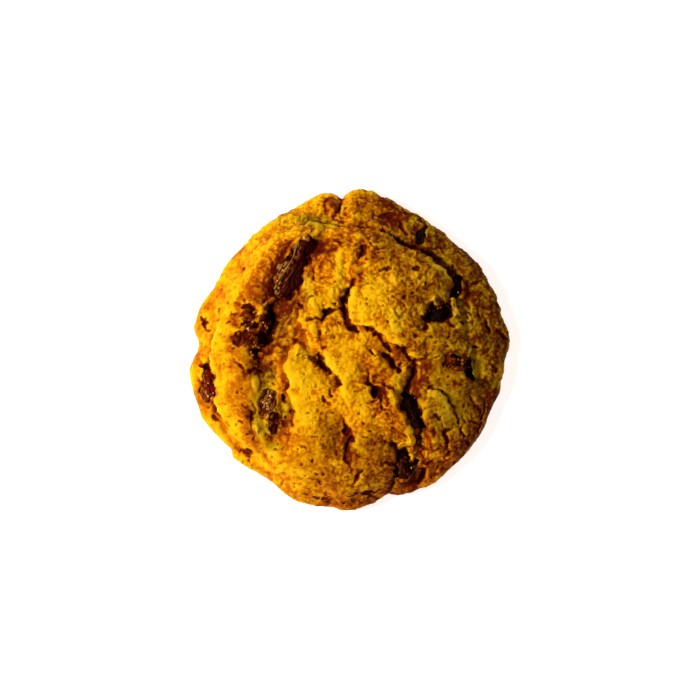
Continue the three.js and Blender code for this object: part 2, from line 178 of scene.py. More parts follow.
# Edges of crust plates: rise of the left side over the right, how far it fades, then the points of its path.
PLATE_EDGES = (
    (2.2, 5.5, (-11.3, 1.4), (-11.9, 0), (-12.7, -2.4), (-12.9, -4.4), (-12.1, -5.6), (-12.1, -7.6),
     (-12.4, -8.8), (-11.5, -10.6), (-10.7, -12.2), (-11.3, -15)),
    (1, 3, (-7.9, -0.9), (-9, 0.6), (-10, 1.6), (-11.3, 1.4)),
    (1.7, 5, (-5.2, -0.2), (-5.2, -1.8), (-4.5, -3.1), (-3.4, -4.6), (-2.2, -5.8), (-1.5, -8)),
    (1.4, 5, (0.5, 13.6), (-0.2, 10.2), (-0.6, 8.6), (-0.2, 7.2), (0.2, 5.4)),
    (1, 4, (0.3, 5.3), (2.2, 4.8), (4.8, 4.5), (6.4, 3.2), (7.6, 1.4), (9.1, 1.7), (10.9, 0.9), (12.4, -1.8),
     (15.5, -1.8)),
    (-1.3, 3.5, (4.2, -6.7), (6.3, -6.7), (8.3, -8.3), (9.3, -9.6), (10.2, -11.7), (11.2, -13.8),
     (12.6, -15.4), (13.2, -17.6), (12.8, -19.6), (9.6, -19)),
    (1.1, 4, (13.9, -9.6), (13.3, -12), (14.9, -14.2), (15.2, -18), (14.9, -21.6)),
    (-0.9, 3.5, (15.4, -7.6), (17.5, -8.3), (19.2, -9.4), (20.5, -11.4), (21.3, -14.2)),
    (0.7, 3, (-9.8, 8.2), (-10, 6.2), (-9.2, 3.4), (-8.4, 2.2), (-7.8, 0.6)),
    (-1, 2.5, (9.4, -21.6), (9.4, -23.6), (8.6, -25.4)), (1.1, 3.5, (0.7, -17.6), (0.4, -20), (0.6, -23)),
    (-0.8, 2.5, (6.6, -27), (5.2, -27.9), (1, -28.1), (-1.2, -28.8)),
    (0.5, 3, (20.6, 4.8), (22, 3.6), (23, 1.4), (25.5, 0.7)),
    (-1, 2.5, (-16.2, 8.8), (-16.6, 6), (-18.6, 5.6), (-17.4, 3)),
    (1.2, 2.5, (-16.2, 2.4), (-15.9, 0), (-17.2, -2.4), (-15.9, -4)),
    (0.4, 3, (10.9, 20.2), (5.4, 19.8), (4.2, 21.6), (2.4, 23.4), (-1.6, 24)),
    (0.6, 3.5, (-7.4, 15.4), (-9.8, 11), (-11.6, 7.6), (-13.4, 3.6)),
    (0.9, 3, (12.9, -2.2), (13.2, -4.4), (13.2, -6.6), (13.9, -9.6)),
)

# Cracks: depth, then the points of the path, each with the crack's half width there.
CRACKS = (
    # North of the middle.
    (1, (1, 13.9, 0.25), (0.4, 12.6, 0.45), (-0.6, 11.2, 0.5), (-1.2, 9.6, 0.75), (-1.3, 8.1, 0.5),
     (-0.8, 6.6, 0.45), (-0.6, 5.2, 0.5), (0.2, 4.5, 0.75), (1.5, 3.6, 0.4)),
    (0.95, (-5.2, 5.9, 0.4), (-4.7, 7.1, 0.75), (-3.7, 7.8, 0.6), (-2.6, 8.1, 0.25), (-1.4, 8, 0.3)),
    (0.6, (-8.5, 6, 0.25), (-7.4, 6.3, 0.38), (-6.4, 6.3, 0.2), (-5.6, 5.8, 0.2)),
    (0.55, (-5.8, 4, 0.2), (-5.9, 2.2, 0.3)), (0.8, (3.3, 4.4, 0.4), (4, 3.9, 0.65), (4.7, 4, 0.3)),
    (0.8, (4.9, 3.2, 0.35), (5.8, 2.7, 0.35), (6.5, 1.6, 0.35), (7.2, 0.7, 0.4), (8, -0.4, 0.5)),
    (0.85, (7.3, -1.2, 0.5), (8, -2, 0.6), (8.8, -3, 0.6), (9.6, -3.9, 0.5)),
    (0.7, (9.9, -2.4, 0.3), (9.9, -4, 0.4)), (0.55, (2.4, 14, 0.15), (3.4, 13, 0.2)),
    # The gorge east of the middle.
    (1, (9.2, 1.3, 0.3), (9.8, 0.9, 0.35), (10.6, 0.7, 0.4), (10.8, 0, 0.25), (11.3, -1, 0.28),
     (11.9, -1.9, 0.3), (12.6, -2.3, 0.5), (12.9, -3.2, 0.35), (12.5, -4.3, 0.6), (12.6, -5.3, 0.5),
     (12, -6.2, 0.45), (11.3, -7.3, 0.6), (10.7, -8.6, 0.7)),
    (0.6, (12.9, -2.1, 0.25), (13.8, -2.1, 0.2), (15.2, -1.7, 0.15)),
    (0.65, (16.7, -1.5, 0.2), (17.3, -1.3, 0.25), (17.9, -0.9, 0.15)),
    (4.6, (10.3, -8.8, 0.7), (11.4, -10, 1.5), (11.9, -11.6, 1.3), (12.4, -13.4, 0.9), (13.4, -14.4, 0.6)),
    (1, (13.4, -14.2, 0.35), (14.3, -14.6, 0.45), (14.3, -15.6, 0.4), (13.6, -16.6, 0.35),
     (13.9, -17.8, 0.35), (13.7, -18.9, 0.25)),
    (0.7, (13.8, -19, 0.3), (14.6, -19.4, 0.4), (15.4, -19.7, 0.25)),
    (0.6, (14.2, -19.8, 0.3), (14.5, -21.6, 0.25)),
    (0.55, (14.8, -22.6, 0.25), (15.5, -22.8, 0.35), (16.3, -22.3, 0.2)),
    # West and south of the middle.
    (0.95, (-6.3, -0.7, 0.4), (-6, -1.6, 0.65), (-5.7, -2.5, 0.75), (-5, -3.4, 0.55), (-4.2, -4, 0.45),
     (-3.7, -4.8, 0.25)),
    (0.85, (-3, -5.6, 0.3), (-2.6, -6.2, 0.5), (-2.1, -6.9, 0.45), (-1.8, -7.3, 0.25)),
    (0.4, (-7.8, -1.6, 0.3), (-6.9, -2.2, 0.5), (-6.4, -3, 0.3)), (0.55, (-3.8, -8, 0.25), (-3.7, -9, 0.3)),
    (0.55, (-5.1, -9.3, 0.2), (-5.2, -10.1, 0.4), (-4.6, -10.5, 0.2), (-3.8, -11.1, 0.2)),
    (0.65, (4.3, 0, 0.25), (4.7, -0.8, 0.32), (5.1, -1.4, 0.2)),
    (0.7, (3.6, -4, 0.15), (3.8, -5, 0.25), (3.7, -6.4, 0.4)),
    (1.05, (4.4, -7, 0.5), (5.2, -7.8, 0.95), (5.5, -8.8, 0.85), (5.9, -9.5, 0.4)),
    (0.7, (6.3, -7.4, 0.4), (7.1, -8.3, 0.35)), (0.7, (6, -9.4, 0.35), (6.1, -10.6, 0.3), (6.3, -11.7, 0.3)),
    (0.55, (6.4, -11.8, 0.2), (7.7, -11.9, 0.15), (8.3, -12.5, 0.15)),
    (0.55, (5.2, -9.7, 0.15), (4.5, -10.4, 0.15)),
    (0.55, (3.4, -7.4, 0.12), (2.2, -7.9, 0.12), (0.4, -8.2, 0.1)),
    (0.85, (-1.2, -13.7, 0.2), (-0.9, -14.7, 0.35), (-0.7, -15.6, 0.8), (-0.2, -16.6, 0.5)),
    (0.95, (0.9, -17.3, 0.3), (0.6, -18.1, 0.45), (-0.2, -18.9, 0.7), (-0.3, -19.7, 0.7), (0.2, -20.2, 0.35)),
    (0.75, (-0.9, -20.5, 0.3), (-0.6, -21.6, 0.4), (-0.2, -22.4, 0.3), (0, -23.4, 0.15)),
    (0.65, (2.3, -23.6, 0.2), (1.5, -25, 0.32), (1, -26, 0.25), (0.6, -27, 0.15)),
    (0.55, (6.7, -25.2, 0.15), (6.5, -26.6, 0.15)),
    # South east.
    (0.85, (7.5, -18.4, 0.3), (8.3, -18.5, 0.45), (8.9, -19.3, 0.45), (9.4, -20.2, 0.4), (9.9, -21.2, 0.5)),
    (3.2, (10.1, -21.6, 0.6), (10.1, -23.4, 0.8), (10, -24.4, 0.9), (9.3, -25.2, 0.3)),
    (1.2, (11.2, -22.4, 0.5), (12.8, -22.4, 0.55)),
    (0.75, (14.9, -24, 0.4), (14.4, -25.2, 0.65), (13.7, -26.4, 0.35)),
    (0.65, (8.9, -26, 0.25), (8.6, -27.2, 0.3)), (0.55, (8.6, -22.6, 0.5), (7.2, -22.3, 0.3)),
    # East.
    (3.8, (14.9, 6.5, 0.45), (16.2, 6.9, 0.9), (17.6, 7.3, 1.3), (19, 7.6, 1.4), (19.4, 8.8, 0.9)),
    (0.95, (16.4, 8, 0.6), (16.2, 9.2, 0.35)), (0.75, (19.2, 6.4, 0.7), (20, 5.2, 0.35), (20.8, 4.6, 0.2)),
    (0.7, (15, 6, 0.35), (15.2, 4.9, 0.4), (15.4, 3.8, 0.2)),
    (0.75, (22.2, 5.4, 0.3), (22.3, 4.5, 0.25), (22.7, 3.4, 0.5), (23, 2.4, 0.3), (23.3, 1.3, 0.25),
     (24.2, 0.9, 0.25), (25.2, 0.7, 0.25)),
    (3.2, (23.9, -1.7, 0.25), (23.4, -2.8, 0.55), (23.5, -4, 0.65), (24.1, -5.2, 0.55), (25, -5.9, 0.2)),
    (0.65, (18.6, -3.4, 0.2), (19.4, -1.8, 0.25), (19.3, -1.2, 0.3)),
    (0.7, (20.6, -0.7, 0.35), (20.6, -1.5, 0.3), (21.6, -1.4, 0.2)),
    (0.7, (19.9, -3.1, 0.3), (21, -2.9, 0.4), (22.2, -3, 0.3)),
    (0.7, (15.4, -7.5, 0.3), (16.1, -7, 0.25), (16.6, -7.6, 0.22), (17.6, -8, 0.22), (18.3, -8.5, 0.35),
     (19, -8.8, 0.25), (19.6, -9.8, 0.25), (20.4, -10.9, 0.28), (20.9, -12.1, 0.22), (21.3, -13.3, 0.28),
     (21.6, -14.2, 0.3)),
    (0.7, (21.2, -15.2, 0.2), (20, -15.4, 0.25), (19, -15.9, 0.35), (18.5, -16.6, 0.35), (19, -17.5, 0.6),
     (19.6, -18.4, 0.3)),
    (0.65, (19.2, -19.2, 0.4), (19.6, -20.2, 0.3), (19.2, -21.3, 0.2)),
    (0.55, (17.2, -13.1, 0.25), (17.6, -13.6, 0.4), (18.3, -14, 0.15), (18.2, -15.4, 0.15)),
    (0.55, (24.1, -9, 0.25), (24.8, -10.4, 0.25), (25.6, -11.6, 0.3), (25.9, -12.8, 0.2)),
    (0.55, (27.1, -10.2, 0.25), (26.8, -12.2, 0.35), (26.3, -13.8, 0.3)),
    (0.55, (22.6, -13.2, 0.15), (23.1, -14.6, 0.25)), (0.55, (22.2, -15.8, 0.25), (22.7, -17, 0.35)),
    (0.55, (24.4, -14.4, 0.3), (26, -14.7, 0.35), (25.6, -16.6, 0.25)),
    (0.6, (23, -18, 0.35), (23.6, -19, 0.5)), (0.55, (22.6, -9.8, 0.15), (22.9, -11.4, 0.15)),
    (0.55, (26.3, -1.2, 0.15), (27, -0.6, 0.2), (27.5, 0.3, 0.2)),
    (0.55, (29.6, 4.2, 0.35), (30.5, 3, 0.4), (31.3, 2.2, 0.3), (31.7, 1.2, 0.2)),
    (0.55, (28.3, -3.1, 0.25), (29, -3.7, 0.35), (29.3, -4.4, 0.2)),
    (0.6, (27.3, 5.8, 0.2), (27.4, 4.8, 0.3), (27.7, 4, 0.55)), (0.55, (23.8, 9.2, 0.25), (23.8, 8, 0.25)),
    (0.55, (23.1, 7, 0.2), (23.6, 6.2, 0.15)),
    # North east.
    (2.6, (20.7, 10.8, 0.5), (21.2, 12.4, 0.8), (21.6, 14.2, 0.6)),
    (0.7, (24.2, 13.2, 0.2), (25.2, 13.3, 0.35), (26.1, 13.7, 0.2)),
    (0.8, (12.6, 20.6, 0.3), (14.6, 19.6, 0.45), (16.6, 17.9, 0.3)),
    (0.55, (16, 20.3, 0.2), (17.6, 20.4, 0.2), (19.5, 20.9, 0.15)),
    (0.7, (11, 27.7, 0.25), (12, 26.8, 0.25), (13.3, 26.3, 0.35), (14.4, 25.1, 0.35), (14.8, 24.3, 0.3)),
    (3, (14.5, 24, 0.5), (14, 22.6, 0.85), (13.8, 21.6, 0.5)),
    (0.55, (9.6, 26, 0.25), (10.2, 25.2, 0.3), (10.8, 23.9, 0.3), (11.5, 23, 0.2)),
    (0.5, (5, 27, 0.2), (6.4, 26.8, 0.35), (7.8, 26.7, 0.75), (8.9, 27.2, 0.4)),
    (0.35, (6.8, 25.6, 0.25), (8, 25.6, 0.4), (8.8, 25.2, 0.2)),
    (0.55, (2.5, 23.2, 0.15), (3.4, 22.2, 0.18), (4.4, 21.4, 0.2), (5, 20, 0.2)),
    (0.6, (2.8, 20.6, 0.35), (2.6, 19.4, 0.6), (2, 18.2, 0.4)),
    (0.4, (-3, 21.8, 0.3), (-2, 21.6, 0.45), (-1.4, 21.2, 0.2)), (0.5, (12.5, 16.2, 0.3), (13.4, 16, 0.5)),
    (0.55, (-7.2, 16.2, 0.2), (-7, 14.2, 0.25)), (0.55, (6, 15.7, 0.2), (7.2, 16, 0.35), (8, 16.2, 0.2)),
    (0.65, (-10, 9.1, 0.3), (-9.5, 8.6, 0.4), (-9.1, 8.1, 0.25)), (0.55, (-7.8, 10.6, 0.3), (-6.9, 10.8, 0.2)),
    # The notch in the north rim.
    (0.8, (-1.7, 32, 0.6), (-1.7, 30.4, 0.45), (-2, 28.6, 0.3), (-2.2, 27.4, 0.3), (-3.4, 26.3, 0.25)),
    (0.35, (-3, 30.6, 0.15), (-4.2, 30.2, 0.3), (-4.9, 29.2, 0.3), (-4.8, 27.8, 0.3), (-4.5, 27, 0.15)),
    (0.55, (-3.4, 26, 0.2), (-1.5, 25.4, 0.2)),
    # West rim and the foot of the crust.
    (0.6, (-29.3, 6.2, 0.3), (-28.8, 5.9, 0.4), (-28.9, 5, 0.4), (-28.6, 4.1, 0.2), (-27.9, 3.7, 0.2)),
    (0.55, (-31, 2.8, 0.2), (-30, 3.2, 0.2)), (0.55, (-31.8, -1.8, 0.2), (-30.9, -1.6, 0.2)),
    (0.55, (-22.5, -2.6, 0.25), (-21.9, -3.2, 0.25), (-21.3, -3.8, 0.2)),
    (0.65, (-19.4, -12.2, 0.3), (-19.3, -12.9, 0.4), (-19.7, -13.8, 0.2), (-19.6, -15.6, 0.15)),
    (0.6, (-21.6, -20.2, 0.3), (-20.8, -20.2, 0.4), (-20, -20.7, 0.35)),
    (0.55, (-13.5, -8.7, 0.2), (-13.1, -9.6, 0.25), (-12.7, -10.4, 0.2)),
    (0.4, (-15.7, -8.4, 0.2), (-16.7, -9.3, 0.22), (-17.6, -10.7, 0.15)),
    (0.4, (-27.4, -13, 0.3), (-26.8, -13.8, 0.35), (-26.2, -14.2, 0.2)),
    (0.4, (-27, -11.4, 0.2), (-26.4, -12, 0.3)), (0.55, (-12.3, -6.5, 0.3), (-12.4, -7.6, 0.35)),
    (0.6, (-6.2, -25.7, 0.2), (-5.8, -26.3, 0.32), (-5.4, -26.8, 0.2)),
    (0.6, (-7.2, -28.9, 0.3), (-6.6, -29.4, 0.35), (-6.2, -29.8, 0.2)),
    (0.55, (-5.3, -30.1, 0.35), (-4.6, -29.9, 0.3), (-3.9, -29.3, 0.15)),
    (0.55, (-0.8, -28.9, 0.2), (0.2, -28.7, 0.2), (1.1, -28.2, 0.25)),
    (0.65, (2.8, -28.7, 0.3), (4.2, -28.6, 0.35), (5.3, -28.2, 0.25)),
    (0.55, (4.2, -29.2, 0.3), (5.4, -29.6, 0.5)), (0.65, (6.2, -29.8, 0.4), (7.4, -28.8, 0.3)),
)

# Torn holes in the dough round the western raisins, in the same form.
TEARS = (
    (0.9, (-21.2, 8.4, 0.3), (-20.4, 8.8, 0.3), (-19.2, 8.4, 0.4), (-18.8, 7, 0.4)),
    (2.2, (-19.9, 5.5, 0.3), (-19.2, 5, 0.6), (-18.6, 4.6, 0.3)),
    (1.5, (-15.4, 8.8, 0.6), (-15.3, 7.2, 0.9), (-15.1, 5.2, 0.9), (-15.8, 3.6, 0.8)),
    (2.6, (-15.9, 3.2, 0.6), (-16.5, 2.2, 1.1), (-17.8, 2.4, 0.6), (-18.4, 3.4, 0.3)),
    (0.6, (-22.9, 1.8, 0.5), (-22, 1.2, 0.6), (-21.2, 2.8, 0.4), (-20.4, 3.8, 0.3)),
    (0.5, (-22.6, 3.2, 0.4), (-21.2, 3, 0.3), (-20.4, 2.4, 0.4)),
    (0.7, (-18.8, -1.2, 0.5), (-17.6, -0.8, 0.5), (-16.4, -0.9, 0.4)),
    (0.5, (-19.8, 0.2, 0.3), (-19.9, -1.1, 0.4), (-19.2, -2, 0.3)),
    (0.6, (-17.8, 0.8, 0.4), (-17.4, -0.4, 0.5), (-18.2, -1.8, 0.5)),
    (0.7, (-19.9, -4.6, 0.4), (-18.6, -4.1, 0.5), (-17.4, -4.4, 0.5)),
    (0.7, (-16.9, 9.3, 0.3), (-16, 10.2, 0.4)),
    (0.9, (-15.6, -12.6, 0.3), (-15, -14.4, 0.6), (-14.8, -16.6, 0.4)),
    (0.6, (-13.8, -14, 0.4), (-12.7, -14.4, 0.5), (-12.5, -15.4, 0.3)),
    (0.4, (-19.4, -9.8, 0.15), (-18.8, -11.4, 0.2), (-19, -12.6, 0.2)),
    (1, (-29.2, -3.2, 0.4), (-27.9, -3.6, 0.5), (-27.5, -5.6, 0.5), (-27.1, -8.4, 0.6), (-26.9, -10, 0.4)),
    (0.7, (-29.8, -6.4, 0.4), (-29.9, -8.6, 0.5), (-28.6, -10, 0.6)),
    (0.6, (-7.2, 21.6, 0.35), (-6.4, 20.9, 0.5), (-5.8, 20.2, 0.4)),
    (1.2, (-8, 19.6, 0.4), (-9.2, 16.6, 0.5), (-10.6, 13, 0.7), (-12.2, 10.6, 0.7)),
)

# Pits: middle, half width, half length along Y.
PITS = (
    (-8.8, 3.8, 0.35, 0.4), (-4.3, 4.1, 0.25, 0.35), (-3.1, 2.5, 0.22, 0.3), (-10.7, 2, 0.6, 0.35),
    (-5.1, 0.6, 0.45, 0.4), (-7.8, -1.3, 0.45, 0.35), (6.1, -1.2, 0.25, 0.3), (2.8, -1.5, 0.25, 0.2),
    (4.9, -12.9, 0.3, 0.5), (2.5, -14.2, 0.2, 0.25), (2.9, -14.7, 0.2, 0.2), (1.6, -12.8, 0.2, 0.2),
    (7.4, -12.6, 0.25, 0.25), (3.9, -16.1, 0.3, 0.2), (6.4, -17, 0.4, 0.25), (8.6, -15.5, 0.3, 0.25),
    (-5, -18.7, 0.25, 0.25), (-7.4, -22, 0.28, 0.25), (-10.3, -19.6, 0.22, 0.22), (-5.3, -24.7, 0.25, 0.35),
    (-6.6, -24.8, 0.2, 0.2), (-8.7, -25.1, 0.2, 0.2), (-15.1, -19.7, 0.4, 0.25), (-20.4, -16.8, 0.3, 0.25),
    (-19.2, -17.4, 0.25, 0.3), (-15.8, -22.6, 0.22, 0.22), (-14.7, -22.9, 0.2, 0.25), (-11, -27.3, 0.22, 0.22),
    (-8.3, -27.4, 0.25, 0.22), (-20.1, -21.9, 0.3, 0.25), (-21.2, -22.3, 0.25, 0.22), (-13.8, -26.8, 0.2, 0.2),
    (-21.3, -7.9, 0.25, 0.28), (-22.3, -8.3, 0.25, 0.25), (-24.3, 5.5, 0.22, 0.22), (-22.9, 7.1, 0.4, 0.25),
    (-26.3, 8.1, 0.28, 0.45), (-25.6, 0.1, 0.2, 0.2), (-15.7, -2.8, 0.25, 0.25), (-16.7, -2.8, 0.3, 0.25),
    (-15.3, -6.8, 0.3, 0.3), (-9.1, -4.8, 0.2, 0.22), (-8.1, -7.1, 0.2, 0.2), (3.2, 9, 0.22, 0.22),
    (3.3, 10.4, 0.2, 0.25), (6.7, 8.8, 0.2, 0.2), (8.8, 9.6, 0.25, 0.2), (10.6, 8.7, 0.22, 0.25),
    (7.4, 5.4, 0.25, 0.3), (10.9, 5, 0.2, 0.2), (12.2, 4.5, 0.2, 0.22), (13, 2.8, 0.45, 0.45),
    (16.1, 2.7, 0.2, 0.2), (19.6, 2.6, 0.22, 0.28), (19.5, 0.9, 0.35, 0.2), (15.4, -5.7, 0.22, 0.22),
    (19.4, -5, 0.25, 0.22), (14, -6, 0.25, 0.5), (10.8, 10.4, 0.3, 0.4), (12.5, 11.3, 0.25, 0.3),
    (11.3, 12.6, 0.25, 0.2), (13, 16, 0.5, 0.25), (15, 13.5, 0.25, 0.22), (16.5, 13.4, 0.22, 0.22),
    (17.8, 12.8, 0.25, 0.22), (-21.5, 16.5, 0.3, 0.25), (26.7, 8.4, 0.35, 0.3), (25.8, 7, 0.3, 0.3),
    (29.4, 0.6, 0.5, 0.25), (21, 19.3, 0.35, 0.25), (20.3, 16.7, 0.3, 0.25), (17.9, -18.8, 0.22, 0.25),
    (12.4, -18.8, 0.25, 0.22), (17.6, -23.7, 0.25, 0.4), (21, -22.8, 0.3, 0.25), (14.4, -23.6, 0.5, 0.3),
    (-2.5, -20.4, 0.28, 0.5), (-1.5, -30.5, 0.22, 0.28), (0.1, -30.9, 0.35, 0.25), (-29.7, -3.1, 0.35, 0.3),
    (-11.7, -12.3, 0.3, 0.5), (-11.2, -15, 0.22, 0.25), (-12.9, -16.9, 0.3, 0.22), (-16.4, -16.6, 0.3, 0.28),
    (-27.4, -13, 0.35, 0.3), (-26.8, -11.2, 0.3, 0.3), (-21.8, -14.5, 0.4, 0.2), (11.4, 1.4, 0.3, 0.2),
    (-10.9, 9.6, 0.3, 0.3), (-3, 9.2, 0.35, 0.22), (16.3, -25.6, 0.22, 0.22), (29.8, 9, 0.3, 0.6),
)

# Knobs and flakes that stand proud: middle, half length, half width, heading, height.
KNOBS = (
    (8.6, 5.2, 1, 0.8, 60, 0.4), (-7, 3.6, 2, 0.9, 95, 0.5), (-3.4, 28.4, 1.3, 0.9, 60, 0.9),
    (-19.3, -0.3, 1.2, 0.6, 80, 0.7), (-18.8, -6.8, 1.6, 0.8, 100, 0.5), (-15.4, 9.8, 1.1, 0.8, 20, 0.8),
    (16.6, -16.4, 2.4, 1, 95, 0.4), (16.9, 9.4, 1.6, 0.9, 110, 0.8), (-11, 12.4, 1.6, 1, 60, 0.6),
    (-13.2, -11.6, 1.8, 0.9, 85, 0.6), (-18.6, -15.4, 1.3, 0.6, 100, 0.5), (-17.6, 7.6, 1.2, 0.9, 40, 1.2),
    (-17.8, 4.8, 1.3, 0.8, 65, 1.2), (-20.2, 1.6, 1.3, 0.6, 35, 0.7), (5.4, -1.3, 0.4, 0.5, 90, 0.5),
    (11.2, -21.2, 1.3, 0.9, 0, 0.8), (24.8, -7.5, 1.2, 0.8, 90, 0.4), (-22.8, 11, 2.4, 1.1, 70, 0.4),
)
